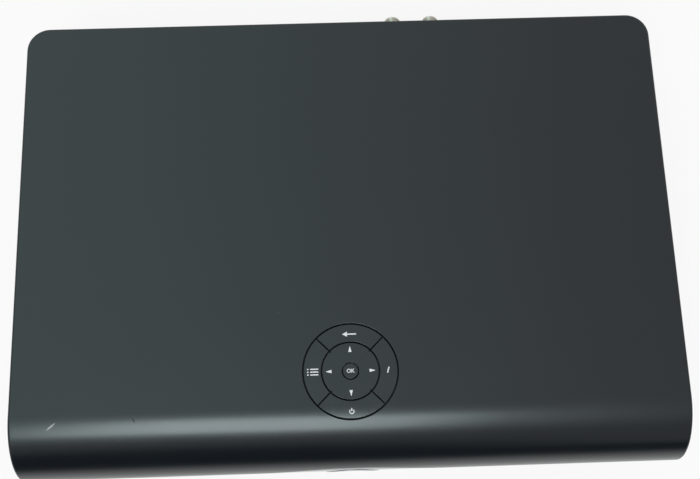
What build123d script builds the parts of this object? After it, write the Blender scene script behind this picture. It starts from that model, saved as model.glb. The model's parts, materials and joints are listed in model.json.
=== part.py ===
from build123d import *
import os
from functools import cache
from math import asin, atan2, cos, degrees, radians, sin, sqrt

# A satellite television receiver: a flat box with a moulded lid that rolls over the front, a round
# cluster of keys, a gloss fascia with a card flap, and its boards, disk, fan and rear sockets.
# Millimetres, +Z up, front towards -Y, origin at the middle of the base.

# ---------------------------------------------------------------------------------------------
# Case
# ---------------------------------------------------------------------------------------------
CASE_WIDTH = 364.0
CASE_DEPTH = 256.5          # foremost line of the nose to the lid's rear edge
CASE_HEIGHT = 76.0          # feet included
FOOT_HEIGHT = 4.0
ROLL_R = 33.0               # the roof rolls over the front down to the nose
CHIN_R = 50.0               # the fascia curves back under below the nose
CHIN_Z = 8.0                # lower edge of the fascia
REAR_CORNER_R = 13.0
EDGE_R = 1.6                # rounding of the lid's roof edge
LID_WALL = 2.4
FASCIA_WALL = 2.4
SHUT_GAP = 0.4              # gap between lid, fascia and flap
FIT_GAP = 0.3               # clearance between neighbouring pieces
PIN_GAP = 0.05              # running clearance of a pin in its hole, on the radius

LIP_Z = 38.0                # lid's lower edge at the front
SKIRT_Z = 30.0              # lid's lower edge along the sides
SWEEP_START = 36.0          # behind the nose, where the lower edge starts to sweep down
SWEEP_END = 52.0
SWEEP_R = 14.0
ARCH_RISE = 14.1            # arch in the lid's front lip, over the status lens
ARCH_FOOT = 60.0            # half widths of the arch at its foot and at its crown
ARCH_CROWN = 30.0
ARCH_FOOT_R = 35.0
ARCH_CROWN_R = 110.0
CHEEK_RUN = 54.0            # the fascia wraps this far back along the sides

CONNECTOR_REACH = 11.5      # dish connectors stand out behind the lid's rear edge
LENS_PROUD = 1.0            # status lens stands out in front of the nose

TOTAL_DEPTH = LENS_PROUD + CASE_DEPTH + CONNECTOR_REACH
FRONT = LENS_PROUD - TOTAL_DEPTH / 2
REAR = FRONT + CASE_DEPTH
NOSE_Z = CASE_HEIGHT - ROLL_R
CHIN_DEPTH = NOSE_Z - CHIN_Z / 4     # the form is drawn a little below the fascia
HALF = CASE_WIDTH / 2
FAR = 400.0                 # longer than anything here, for cutting tools

# Ribs and bosses of the lid
LID_SCREW_X = (-120.0, 5.0, 152.0)
LID_SCREW_Z = 67.5
LID_SCREW_LENGTH = 9.0
LID_BOSS_SIDE = 9.0
LID_BOSS_DEPTH = 12.0
RIB_X = (-140.0, -95.0, 95.0, 140.0)
RIB_T = 1.6
RIB_DROP = 3.0
RIB_START = 42.0
RIB_END = 30.0

# ---------------------------------------------------------------------------------------------
# Sheet metal and feet
# ---------------------------------------------------------------------------------------------
SHEET = 1.0
TRAY_TOP = 36.0
TRAY_FRONT_RUN = 18.0       # tray's front wall, behind the nose
TRAY_FRONT_TOP = 13.0
TRAY_LIP = 2.6              # tab along the tray's rear edge, behind which the rear panel stands
PANEL_RECESS = 2.2          # rear panel sits this far inside the lid's rear edge
PANEL_TOP = 72.0
SIDE_VENTS = 15
SIDE_VENT = (4.0, 14.0)     # length and height
SIDE_VENT_Z = 10.0
SIDE_VENT_PITCH = 9.0
FLOOR_VENTS = 9
FLOOR_VENT = (4.0, 46.0)
FLOOR_VENT_PITCH = 9.0
FOOT_R = 8.0
FOOT_BEVEL = 1.0
FOOT_X = 150.0
FOOT_INSET = 32.0           # feet stand this far inside the front and rear edges

FLOOR = FOOT_HEIGHT + SHEET
PANEL_OUT = REAR - PANEL_RECESS
PANEL_IN = PANEL_OUT - SHEET
PANEL_HALF = HALF - REAR_CORNER_R - FIT_GAP
TRAY_INSET = LID_WALL + FIT_GAP
TRAY_FRONT = FRONT + TRAY_FRONT_RUN

# ---------------------------------------------------------------------------------------------
# Keys
# ---------------------------------------------------------------------------------------------
KEY_SETBACK = 51.0          # centre of the cluster behind the nose
APERTURE_R = 25.85
KEY_RIM_GAP = 0.7           # aperture to the outer keys
KEY_INNER_R = 15.9
ROCKER_GAP = 0.75           # outer keys to the rocker
ROCKER_BORE_R = 4.65
SELECT_GAP = 0.55           # rocker to the select key
SPOKE_GAP = 0.6
KEY_WALL = 2.0
KEY_SKIRT = 1.5             # thickness of an outer key's rim wall
FLANGE_T = 0.9
FLANGE_REACH = 1.5
KEY_TRAVEL = 0.5
STEM_R = 1.6
STEM_GAP = 0.35             # around a stem in the carrier and around a plunger in its switch
KEY_STEM_AT = 20.5          # stems and their switches stand on these pitch circle radii
ROCKER_STEM_AT = 12.4
CARRIER_TOP = 68.4
CARRIER_T = 1.6
CARRIER_WALL = 1.6
CARRIER_RIM = 2.6           # height of the wall round the carrier's floor
FLANGE_GAP = 0.75           # between the keys' flanges and the carrier's wall
CARRIER_EAR_R = 4.0
CARRIER_POST_R = 3.0
PIVOT_Z = 71.0
SLEEVE_WALL = 0.9
HOOP_INNER_R = 6.0
HOOP_OUTER_R = 7.6
HOOP_T = 1.4
GIMBAL_PIN_R = 0.5
GIMBAL_POST_AT = 9.2
GIMBAL_POST = (1.8, 3.0)    # thickness and width
SWITCH_SIDE = 6.0
SWITCH_HEIGHT = 3.5
PLUNGER_SIDE = 3.0
PLUNGER_UP = 0.8
PLUNGER_SUNK = 1.2
PLUNGER_DROP = 0.7          # plungers rest this far under the carrier; the rocker lifts them by 0.45
SWITCH_BOARD_INSET = 1.0    # board's edge inside the carrier's outline
BOARD_T = 1.6

KEY_Y = FRONT + KEY_SETBACK
KEY_OUTER_R = APERTURE_R - KEY_RIM_GAP
ROCKER_R = KEY_INNER_R - ROCKER_GAP
SELECT_R = ROCKER_BORE_R - SELECT_GAP
CARRIER_R = KEY_OUTER_R + FLANGE_REACH + FLANGE_GAP + CARRIER_WALL
CARRIER_EAR_AT = CARRIER_R + CARRIER_EAR_R
CARRIER_WALL_TOP = CARRIER_TOP + CARRIER_RIM
SWITCH_BOARD_SIDE = 2 * (CARRIER_R - SWITCH_BOARD_INSET)
FLANGE_INSET = LID_WALL + FIT_GAP
STEM_FOOT = CARRIER_TOP - CARRIER_T - PLUNGER_DROP
SWITCH_TOP = STEM_FOOT - PLUNGER_UP
SWITCH_BOARD_TOP = SWITCH_TOP - SWITCH_HEIGHT
WELL_DEPTH = PLUNGER_SUNK + KEY_TRAVEL + FIT_GAP
KEY_ANGLES = {"info": 0, "back": 90, "guide": 180, "power": 270}

# ---------------------------------------------------------------------------------------------
# Front: status lens, lights, card flap and card reader
# ---------------------------------------------------------------------------------------------
LENS_Z = 31.8
LENS_R = 16.0
LENS_FLANGE_REACH = 2.5
LENS_FLANGE_T = 1.2
LENS_EDGE = 0.5
LIGHT_RING_INSET = 2.0
LIGHT_RING_T = 3.0
LIGHT_RING_SLIT = 1.2
FRONT_BOARD_RUN = 14.5
FRONT_BOARD_X = (-158.0, 62.0)
FRONT_BOARD_Z = (13.5, 50.0)
FRONT_POST_R = 2.5
FRONT_POSTS = ((-148.0, 18.0), (-60.0, 18.0), (57.0, 18.0), (-30.0, 44.0), (30.0, 44.0))
RING_LEDS = 8
LED_SIDE = 2.8
LED_T = 1.2
INDICATOR_R = 1.5
INDICATOR_X = (-140.0, -131.0, -122.0, -113.0)
INDICATOR_Z = 26.0
WINDOW_X = 48.0
WINDOW_Z = 28.0
WINDOW_SIZE = (13.0, 7.0)

LENS_FLANGE_R = LENS_R + LENS_FLANGE_REACH
LIGHT_RING_R = LENS_R - LIGHT_RING_INSET

FLAP_X = (78.0, 164.0)
FLAP_TOP = 33.5
FLAP_PIN_Z = 14.6
FLAP_T = 2.0
FLAP_FOOT_DIP = 1.2         # the flap's skin runs this far below its pin and meets the barrel
BARREL_R = 2.0
FLAP_PIN_R = 0.8
FLAP_LIFT = 0.8             # gap under the barrel
BAY_WALL = 1.6
BAY_RUN = 13.5
READER_X = (88.0, 152.0)
READER_Z = (18.0, 30.0)
READER_DEPTH = 62.0
READER_LEG = 5.0
CARD_SLOT = (55.0, 1.4)
CARD_DEPTH = 48.0

# ---------------------------------------------------------------------------------------------
# Boards and what stands on them
# ---------------------------------------------------------------------------------------------
BOARD_Z = 11.0
STANDOFF_R = 3.0            # half the width of a hexagonal standoff across its flats
SCREW_R = 1.5
SCREW_HEAD_R = 2.9
SCREW_HEAD_T = 1.6
SCREW_GAP = 0.05
BOARD_SCREW_R = 1.5         # half the width of a small screw's six-sided shank
BOARD_SCREW_HEAD = (2.75, 1.5)          # half width and height
BOARD_SCREW_LENGTH = 5.0
FIXING_INSET = 5.0
REAR_FIXING_RUN = 41.0      # main board's rear standoffs, in front of the rear panel
MAIN_BOARD_X = (-165.0, 67.0)
MAIN_BOARD_DEPTH = 108.0
POWER_BOARD_X = (77.0, 173.0)
POWER_BOARD_Y = (-38.0, 84.0)
PROCESSOR_RUN = 59.3                    # processor's middle in front of the board's rear edge
MEMORY_SIZE = (14.0, 9.0, 1.2)
SINK_SIDE = 40.0
SINK_BASE = 3.0
SINK_HEIGHT = 15.0
SINK_FINS = 9
SINK_FIN_T = 1.2
TRANSFORMER = (112.0, 12.0, 36.0, 30.0, 28.0)   # x, y, then size
MAIN_CAPACITOR = (150.0, -14.0, 11.0, 32.0)     # x, y, radius, height
SMALL_CAPACITOR_R = 5.0
SMALL_CAPACITOR_H = 18.0
SMALL_CAPACITOR_X = (91.0, 104.0, 117.0, 130.0)
SMALL_CAPACITOR_Y = 58.0
PLUG_SIZE = (14.0, 8.0, 6.0)            # board sockets that leads go into
PLUG_TALL = 12.0
BOARD_TOP = BOARD_Z + BOARD_T
MAIN_BOARD_Y = (PANEL_IN - 0.5 - MAIN_BOARD_DEPTH, PANEL_IN - 0.5)
PROCESSOR = (-20.0, MAIN_BOARD_Y[1] - PROCESSOR_RUN, 31.0, 2.4)     # x, y, side and thickness

# ---------------------------------------------------------------------------------------------
# Disk, fan and leads
# ---------------------------------------------------------------------------------------------
DISK_SIZE = (147.0, 101.6, 26.1)
DISK_X = -172.0
DISK_Z = 11.5
BRACKET_RUN = 23.5          # disk bracket starts this far behind the nose
BRACKET_T = 1.2
BRACKET_TOP = 30.0
GROMMET_T = 2.6
GROMMET_R = 3.6
GROMMET_END = 28.5
GROMMET_UP = 6.35
FAN_SIDE = 60.0
FAN_T = 12.0
FAN_X = 104.0
FAN_Z = 38.0
FAN_BORE_R = 28.5
FAN_CORNER_R = 3.0
FAN_HOLES = 50.0            # pitch of the fan's fixing holes
FAN_HOLE_R = 2.15
BLADE_R = 27.4
BLADE_CHORD = 13.0
BLADE_PITCH = 35.0
BLADE_T = 1.2
FAN_HUB_R = 13.0
FAN_HUB_LENGTH = 8.5
FAN_BLADES = 7
FAN_SHAFT_R = 1.5
FAN_SHAFT_LENGTH = 1.6
FAN_BACK_T = 2.4
FAN_STRUT = 4.0
GRILLE_RINGS = (10.0, 16.0, 22.0, 28.0)
GRILLE_SLOT = 3.0
GRILLE_SPOKE = 3.0
RIBBON_WIDTH = 12.0
RIBBON_T = 0.4
RIBBON_X = 16.0
RIBBON_BEND_R = 20.0
DISK_LEAD_T = 1.2
DISK_LEAD_Z = (14.0, 22.0)
DISK_LEAD_BEND_R = 5.0
DISK_LEAD_X = -10.0
DISK_LEAD_Y = -60.0
MAINS_WIRE_T = 2.6
MAINS_BEND_R = 6.0
POWER_LEAD_RUN = 21.0                   # its middle behind the main board's front edge
POWER_LEAD_Y = MAIN_BOARD_Y[0] + POWER_LEAD_RUN
POWER_LEAD_RISE = 8.0

# ---------------------------------------------------------------------------------------------
# Rear sockets, with x positions as seen from the front
# ---------------------------------------------------------------------------------------------
SOCKET_GAP = 0.3            # panel cut-out around a socket
SOCKET_PROUD = 0.4          # plastic sockets stand this far out of the rear panel
SCART_X = -137.0
SCART_BODY = (54.0, 30.0, 33.4)
SCART_FACE = (47.6, 14.0)
SCART_LEVELS = (8.0, 25.2)  # heights of the two outlets above the board
SCART_PROUD = 1.2
SCART_CORNER = 5.0
SCART_GROOVE = 1.3
SCART_GROOVE_DEPTH = 9.0
AUDIO_X = -99.0
AUDIO_BODY = (10.5, 12.0, 30.0)
AUDIO_LEVELS = (7.5, 22.0)
PHONO_R = 4.15
PHONO_BORE_R = 1.6
PHONO_REACH = 8.5
PHONO_COLLAR = (5.2, 0.8)   # radius, and how far it stands out of the panel
OPTICAL_X = -84.0
OPTICAL_BODY = (10.0, 14.0, 10.0)
OPTICAL_HOLE = (7.2, 6.0, 4.5)
HDMI_X = -64.0
HDMI_BODY = (15.2, 11.5, 6.0)
HDMI_HOLE = (14.0, 4.6, 8.0)
HDMI_TONGUE = 1.4
USB_X = -45.0
USB_BODY = (14.4, 14.0, 7.0)
USB_HOLE = (12.5, 5.1, 9.0)
USB_TONGUE = 1.8
NETWORK_X = -24.0
NETWORK_BODY = (16.0, 21.0, 13.5)
NETWORK_HOLE = (11.8, 8.0, 13.0)
NETWORK_LATCH = (6.2, 2.2)
PHONE_X = -3.0
PHONE_BODY = (13.2, 18.0, 12.0)
PHONE_HOLE = (9.8, 6.8, 12.0)
PHONE_LATCH = (4.0, 2.2)
HOLE_UP = 2.4               # socket hole above the board
TUNER_X = 44.2
TUNER_SIZE = (46.0, 60.0, 50.0)
TUNER_WALL = 0.8
DISH_SPACING = 23.0
DISH_Z = 54.0
DISH_R = 4.7625             # 3/8 inch thread, outside
DISH_BORE_R = 3.6
DISH_BORE_DEPTH = 1.2
DISH_CONTACT_R = 0.7
DISH_NUT_R = 5.6            # half the width across its flats
DISH_NUT_T = 2.2
AERIAL_Z = 30.0
AERIAL_R = 6.4
AERIAL_BORE_R = 4.8
AERIAL_DEPTH = 10.0
AERIAL_CONTACT_R = 1.2
AERIAL_REACH = 9.0
INLET_X = 150.0
INLET_Z = 26.0
INLET_BODY = (27.0, 19.0, 17.0)
INLET_FLANGE = (31.0, 21.0, 1.6)
INLET_HALF = 4.3            # half the pin spacing
INLET_SLOT_R = 4.6
INLET_DEPTH = 12.5
INLET_PIN_R = 1.2
INLET_PIN_LENGTH = 10.0


# ---------------------------------------------------------------------------------------------
# Small helpers
# ---------------------------------------------------------------------------------------------
def block(x, y, z):
    """Box between three (low, high) spans."""
    size = (x[1] - x[0], y[1] - y[0], z[1] - z[0])
    return Pos(x[0], y[0], z[0]) * Box(*size, align=(Align.MIN, Align.MIN, Align.MIN))


def around(middle, size):
    """Span of a size about a middle."""
    return (middle - size / 2, middle + size / 2)


def upward(low, size):
    """Span of a size above a level."""
    return (low, low + size)


def inward(size, proud=0.0):
    """Span that starts `proud` of the rear panel and runs into the case."""
    return (PANEL_OUT + proud - size, PANEL_OUT + proud)


def rod(radius, start, end):
    """Cylinder between two points."""
    start = Vector(start)
    along = Vector(end) - start
    seat = Plane(origin=start, z_dir=along.normalized())
    return seat * Cylinder(radius, along.length, align=(Align.CENTER, Align.CENTER, Align.MIN))


def tube(outer_r, inner_r, start, end):
    """Hollow cylinder between two points."""
    return rod(outer_r, start, end) - rod(inner_r, start, end)


def hexagon(half_width, start, end):
    """Hexagonal prism between two points, sized across its flats."""
    start = Vector(start)
    along = Vector(end) - start
    seat = Plane(origin=start, z_dir=along.normalized())
    return seat * extrude(RegularPolygon(half_width, 6, major_radius=False), amount=along.length)


def raised(face, z):
    """A face drawn on XY, raised between two heights."""
    return Pos(0, 0, z[0]) * extrude(face, amount=z[1] - z[0])


def group(items):
    """Separate solids kept together in one node."""
    return Compound(children=[solid for item in items for solid in item.solids()])


def closed(curve, *corners):
    """Face between an open curve and the corners that close it."""
    back = Polyline(curve @ 1, *corners, curve @ 0)
    return make_face([*curve.edges(), *back.edges()])


def setback(z, inset=0.0):
    """How far behind the nose the skin lies at a height, `inset` inside its outer face."""
    radius = ROLL_R if z >= NOSE_Z else CHIN_R
    return radius - sqrt((radius - inset) ** 2 - (z - NOSE_Z) ** 2)


def polar(radius, angle, middle=(0.0, 0.0)):
    """Point on a circle."""
    turn = radians(angle)
    return (middle[0] + radius * cos(turn), middle[1] + radius * sin(turn))


# ---------------------------------------------------------------------------------------------
# Outer form of the case
# ---------------------------------------------------------------------------------------------
@cache
def case_profile(inset):
    """Side elevation: flat roof, rolled nose and undercut chin."""
    roll = CenterArc((FRONT + ROLL_R, NOSE_Z), ROLL_R - inset, 90, 90)
    chin = CenterArc((FRONT + CHIN_R, NOSE_Z), CHIN_R - inset, 180, degrees(asin(CHIN_DEPTH / (CHIN_R - inset))))
    rear = REAR - inset
    back = Polyline(chin @ 1, (rear, (chin @ 1).Y), (rear, CASE_HEIGHT - inset), roll @ 0)
    return Plane.YZ * make_face([*roll.edges(), *chin.edges(), *back.edges()])


@cache
def case_form(inset):
    """Outer form of the whole case, `inset` inside its skin."""
    half = HALF - inset
    form = extrude(case_profile(inset), amount=half, both=True)
    rear_posts = form.edges().filter_by(Axis.Z).group_by(Axis.Y)[-1]
    form = fillet(rear_posts, REAR_CORNER_R - inset)
    if inset < EDGE_R:
        roof = form.faces().sort_by(Axis.Z)[-1]
        seam = roof.edges().sort_by(Axis.Y)[0]
        rim = [edge for edge in roof.edges() if (edge.center() - seam.center()).length > 1]
        rolled = [edge for edge in form.edges().filter_by(GeomType.CIRCLE) if abs(edge.center().X) > half - 0.1]
        form = fillet(rim + rolled, EDGE_R - inset)
    return form


@cache
def near_form(inset):
    """The same form near the middle, where no side or corner is needed."""
    return extrude(case_profile(inset), amount=HALF - REAR_CORNER_R, both=True)


@cache
def below_lip(drop):
    """Everything under the lid's lower edge, lowered by `drop`."""
    lip = LIP_Z - drop
    skirt = SKIRT_Z - drop
    side = FilletPolyline(
        (FRONT - FAR, lip), (FRONT + SWEEP_START, lip), (FRONT + SWEEP_END, skirt), (FAR, skirt),
        radius=SWEEP_R,
    )
    side_face = Plane.YZ * closed(side, (FAR, -FAR), (FRONT - FAR, -FAR))
    crown = lip + ARCH_RISE
    arch = FilletPolyline(
        (-HALF, lip), (-ARCH_FOOT, lip), (-ARCH_CROWN, crown),
        (ARCH_CROWN, crown), (ARCH_FOOT, lip), (HALF, lip),
        radius=[ARCH_FOOT_R, ARCH_CROWN_R, ARCH_CROWN_R, ARCH_FOOT_R],
    )
    arch_face = Plane.XZ * closed(arch, (HALF, lip - 1), (-HALF, lip - 1))
    arch_region = Pos(0, FRONT + ROLL_R, 0) * extrude(arch_face, amount=2 * ROLL_R)
    return extrude(side_face, amount=FAR, both=True) + arch_region


def tray_outline(inset):
    """Plan of the base tray, rounded at the rear inside the lid's corners."""
    half = HALF - TRAY_INSET - inset
    front = TRAY_FRONT + inset
    rear = REAR - TRAY_INSET - inset
    plate = Pos(0, (front + rear) / 2) * Rectangle(2 * half, rear - front)
    return fillet(plate.vertices().group_by(Axis.Y)[-1], REAR_CORNER_R - TRAY_INSET - inset)


# ---------------------------------------------------------------------------------------------
# Lid, fascia, tray, rear panel and feet
# ---------------------------------------------------------------------------------------------
def carrier_points():
    """Where the key carrier is screwed up to the lid."""
    return [polar(CARRIER_EAR_AT, angle, (0, KEY_Y)) for angle in (45, 135, 225, 315)]


def lid():
    """One moulding: roof, sides and rolled front, open below and behind."""
    shell = case_form(0) - case_form(LID_WALL) - below_lip(0)
    shell -= block(
        (-PANEL_HALF - FIT_GAP, PANEL_HALF + FIT_GAP), (PANEL_IN - FIT_GAP, FAR), (0, PANEL_TOP + FIT_GAP)
    )
    shell -= rod(APERTURE_R, (0, KEY_Y, NOSE_Z), (0, KEY_Y, FAR))
    under_roof = CASE_HEIGHT - LID_WALL
    boss_rear = PANEL_IN - FIT_GAP
    for x in LID_SCREW_X:
        boss = block(
            around(x, LID_BOSS_SIDE), (boss_rear - LID_BOSS_DEPTH, boss_rear),
            (LID_SCREW_Z - LID_BOSS_SIDE / 2, under_roof),
        )
        bore = rod(SCREW_R + SCREW_GAP, (x, PANEL_OUT - LID_SCREW_LENGTH - 1, LID_SCREW_Z),
                   (x, PANEL_OUT, LID_SCREW_Z))
        shell += boss - bore
    for x in RIB_X:
        shell += block(around(x, RIB_T), (FRONT + RIB_START, REAR - RIB_END), (under_roof - RIB_DROP, under_roof))
    for x, y in carrier_points():
        post = rod(CARRIER_POST_R, (x, y, CARRIER_TOP), (x, y, CASE_HEIGHT)) & near_form(LID_WALL)
        shell += post - screw_hole((x, y, 0), (x, y, CARRIER_TOP + CARRIER_POST_R))
    return shell


def flap_opening():
    """Hole in the fascia that the card flap fills."""
    low = FLAP_PIN_Z - BARREL_R - FLAP_LIFT
    return block(
        (FLAP_X[0] - SHUT_GAP, FLAP_X[1] + SHUT_GAP), (FRONT - 1, FRONT + 2 * BAY_RUN), (low, FLAP_TOP + SHUT_GAP)
    )


def flap_axis():
    """Y of the card flap's pin, one barrel radius inside the skin."""
    return FRONT + setback(FLAP_PIN_Z, BARREL_R)


def card_bay():
    """Walls behind the flap opening; they carry the flap's pin and end at the card reader."""
    hole = flap_opening().bounding_box()
    walls = block(
        (hole.min.X - BAY_WALL, hole.max.X + BAY_WALL), (FRONT, FRONT + BAY_RUN),
        (hole.min.Z - BAY_WALL, hole.max.Z + BAY_WALL),
    )
    return walls & near_form(FASCIA_WALL - 0.5)


def front_fascia():
    """Gloss moulding under the lid's lip, wrapped round the sides."""
    skin = (case_form(0) - case_form(FASCIA_WALL)) & below_lip(SHUT_GAP)
    skin &= block((-HALF, HALF), (FRONT, FRONT + CHEEK_RUN), (CHIN_Z, CASE_HEIGHT))
    foot = block((-HALF + 12, HALF - 12), (FRONT + setback(CHIN_Z, 1.2), TRAY_FRONT), (CHIN_Z, CHIN_Z + 1.6))
    skin += foot
    for x, z in FRONT_POSTS:
        skin += rod(FRONT_POST_R, (x, FRONT, z), (x, FRONT + FRONT_BOARD_RUN, z)) & near_form(FASCIA_WALL - 0.5)
    skin = (skin + card_bay()) - flap_opening()
    hole = flap_opening().bounding_box()
    axis_y = flap_axis()
    skin -= rod(FLAP_PIN_R + PIN_GAP / 2, (hole.min.X - BAY_WALL / 2, axis_y, FLAP_PIN_Z),
                (hole.max.X + BAY_WALL / 2, axis_y, FLAP_PIN_Z))
    skin -= rod(LENS_R + FIT_GAP, (0, FRONT - 1, LENS_Z), (0, FRONT + FRONT_BOARD_RUN, LENS_Z))
    for x in INDICATOR_X:
        skin -= rod(INDICATOR_R + PIN_GAP, (x, FRONT - 1, INDICATOR_Z), (x, FRONT + BAY_RUN, INDICATOR_Z))
    window = (WINDOW_SIZE[0] + FIT_GAP, WINDOW_SIZE[1] + FIT_GAP)
    skin -= block(around(WINDOW_X, window[0]), (FRONT - 1, FRONT + BAY_RUN), around(WINDOW_Z, window[1]))
    return skin


def card_flap():
    """Curved door of the viewing-card bay, with its hinge barrel along the lower edge."""
    skin = near_form(0) - near_form(FLAP_T)
    skin &= block(FLAP_X, (FRONT, FRONT + BAY_RUN), (FLAP_PIN_Z - FLAP_FOOT_DIP, FLAP_TOP))
    start = (FLAP_X[0], flap_axis(), FLAP_PIN_Z)
    end = (FLAP_X[1], flap_axis(), FLAP_PIN_Z)
    return skin + rod(BARREL_R, start, end) - rod(FLAP_PIN_R + PIN_GAP, start, end)


def flap_hinge_pin():
    """Steel pin through the flap's barrel, held at both ends in the bay's walls."""
    hole = flap_opening().bounding_box()
    reach = BAY_WALL / 2 - FIT_GAP / 3
    start = (hole.min.X - reach, flap_axis(), FLAP_PIN_Z)
    return rod(FLAP_PIN_R, start, (hole.max.X + reach, flap_axis(), FLAP_PIN_Z))


def drilled(board, spots):
    """Board with a screw hole at each fixing point."""
    for x, y in spots:
        board -= screw_hole((x, y, 0), (x, y, CASE_HEIGHT), 2 * SCREW_GAP)
    return board


def main_standoffs():
    """Fixing points of the main board, clear of the sockets and the tuner can."""
    left = MAIN_BOARD_X[0] + FIXING_INSET
    front = MAIN_BOARD_Y[0] + FIXING_INSET
    rear = PANEL_IN - REAR_FIXING_RUN
    beside_can = TUNER_X - TUNER_SIZE[0] / 2 - 2 * FIXING_INSET
    return [(left, front), (MAIN_BOARD_X[1] - FIXING_INSET, front), (left, rear), (beside_can, rear)]


def power_standoffs():
    """Fixing points of the power board."""
    span_x = (POWER_BOARD_X[0] + FIXING_INSET, POWER_BOARD_X[1] - FIXING_INSET)
    span_y = (POWER_BOARD_Y[0] + FIXING_INSET, POWER_BOARD_Y[1] - FIXING_INSET)
    return [(x, y) for x in span_x for y in span_y]


def base_tray():
    """Folded sheet tray with vents, board standoffs and a lip for the rear panel."""
    tray = raised(tray_outline(0), (FOOT_HEIGHT, TRAY_TOP)) - raised(tray_outline(SHEET), (FLOOR, TRAY_TOP))
    inside = HALF - TRAY_INSET - SHEET
    tray -= block((-inside, inside), (TRAY_FRONT - 1, TRAY_FRONT + SHEET), (TRAY_FRONT_TOP, FAR))
    tray -= block((-PANEL_HALF - FIT_GAP, PANEL_HALF + FIT_GAP), (PANEL_IN - 2 * SHEET, FAR), (FLOOR, FAR))
    tray += block((-PANEL_HALF, PANEL_HALF), (PANEL_IN - SHEET, PANEL_IN), (FOOT_HEIGHT, FLOOR + TRAY_LIP))
    middle = (TRAY_FRONT + REAR) / 2
    for index in range(SIDE_VENTS):
        y = middle + (index - (SIDE_VENTS - 1) / 2) * SIDE_VENT_PITCH
        tray -= block((-HALF, HALF), around(y, SIDE_VENT[0]), upward(SIDE_VENT_Z, SIDE_VENT[1]))
    for x, y in main_standoffs() + power_standoffs():
        tray += hexagon(STANDOFF_R, (x, y, FLOOR), (x, y, BOARD_Z))
        tray -= screw_hole((x, y, FLOOR), (x, y, BOARD_TOP))
    vent_x = (POWER_BOARD_X[0] + POWER_BOARD_X[1]) / 2
    for index in range(FLOOR_VENTS):
        x = vent_x + (index - (FLOOR_VENTS - 1) / 2) * FLOOR_VENT_PITCH
        tray -= block(around(x, FLOOR_VENT[0]), around(TRANSFORMER[1], FLOOR_VENT[1]), (0, FLOOR + 1))
    return tray


def fan_grille():
    """Ring slots in the rear panel behind the fan, bridged by four spokes."""
    slots = None
    for radius in GRILLE_RINGS:
        ring = tube(radius, radius - GRILLE_SLOT, (FAN_X, PANEL_IN - 1, FAN_Z), (FAN_X, PANEL_OUT + 1, FAN_Z))
        slots = ring if slots is None else slots + ring
    depth = (PANEL_IN - 2, PANEL_OUT + 2)
    slots -= block(around(FAN_X, FAN_SIDE), depth, around(FAN_Z, GRILLE_SPOKE))
    slots -= block(around(FAN_X, GRILLE_SPOKE), depth, around(FAN_Z, FAN_SIDE))
    return slots


def rear_panel():
    """Plate with a cut-out for every socket, the fan grille and the lid's screw holes."""
    panel = block((-PANEL_HALF, PANEL_HALF), (PANEL_IN, PANEL_OUT), (FLOOR, PANEL_TOP))
    depth = (PANEL_IN - 1, PANEL_OUT + 1)
    for body, x in (
        (OPTICAL_BODY, OPTICAL_X), (HDMI_BODY, HDMI_X), (USB_BODY, USB_X),
        (NETWORK_BODY, NETWORK_X), (PHONE_BODY, PHONE_X),
    ):
        panel -= block(around(x, body[0] + 2 * SOCKET_GAP), depth,
                       (BOARD_TOP - SOCKET_GAP, BOARD_TOP + body[2] + SOCKET_GAP))
    for level in SCART_LEVELS:
        panel -= scart_outline(level, SOCKET_GAP, depth)
    for level in AUDIO_LEVELS:
        z = BOARD_TOP + level
        panel -= rod(PHONO_COLLAR[0] + SOCKET_GAP, (AUDIO_X, depth[0], z), (AUDIO_X, depth[1], z))
    for x in dish_x():
        panel -= rod(DISH_R + SOCKET_GAP, (x, depth[0], DISH_Z), (x, depth[1], DISH_Z))
        panel -= rod(AERIAL_R + SOCKET_GAP, (x, depth[0], AERIAL_Z), (x, depth[1], AERIAL_Z))
    panel -= block(around(INLET_X, INLET_BODY[0] + SOCKET_GAP), depth, around(INLET_Z, INLET_BODY[2] + SOCKET_GAP))
    for x in LID_SCREW_X:
        panel -= rod(SCREW_R + SOCKET_GAP, (x, depth[0], LID_SCREW_Z), (x, depth[1], LID_SCREW_Z))
    return panel - fan_grille()


def feet():
    """Four rubber feet under the tray."""
    pads = []
    for x in (-FOOT_X, FOOT_X):
        for y in (FRONT + FOOT_INSET, REAR - FOOT_INSET):
            pad = rod(FOOT_R, (x, y, 0), (x, y, FOOT_HEIGHT))
            pads.append(chamfer(pad.edges().sort_by(Axis.Z)[0], FOOT_BEVEL))
    return group(pads)


def screw(head, point, length):
    """Pan-head screw whose shank starts at `head` and runs towards `point`."""
    head = Vector(head)
    along = (Vector(point) - head).normalized()
    shank = rod(SCREW_R, head, head + along * length)
    return rod(SCREW_HEAD_R, head - along * SCREW_HEAD_T, head) + shank


def small_screw(head, point, length):
    """Six-sided screw of a board, the disk or the carrier; its shank runs from `head` towards `point`."""
    head = Vector(head)
    along = (Vector(point) - head).normalized()
    half_width, height = BOARD_SCREW_HEAD
    shank = hexagon(BOARD_SCREW_R, head, head + along * length)
    return hexagon(half_width, head, head - along * height) + shank


def screw_hole(start, end, gap=SCREW_GAP):
    """Hole for a small screw's shank."""
    return hexagon(BOARD_SCREW_R + gap, start, end)


def lid_screws():
    """Screws through the rear panel into the lid's bosses."""
    return group([
        screw((x, PANEL_OUT, LID_SCREW_Z), (x, FRONT, LID_SCREW_Z), LID_SCREW_LENGTH) for x in LID_SCREW_X
    ])


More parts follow.
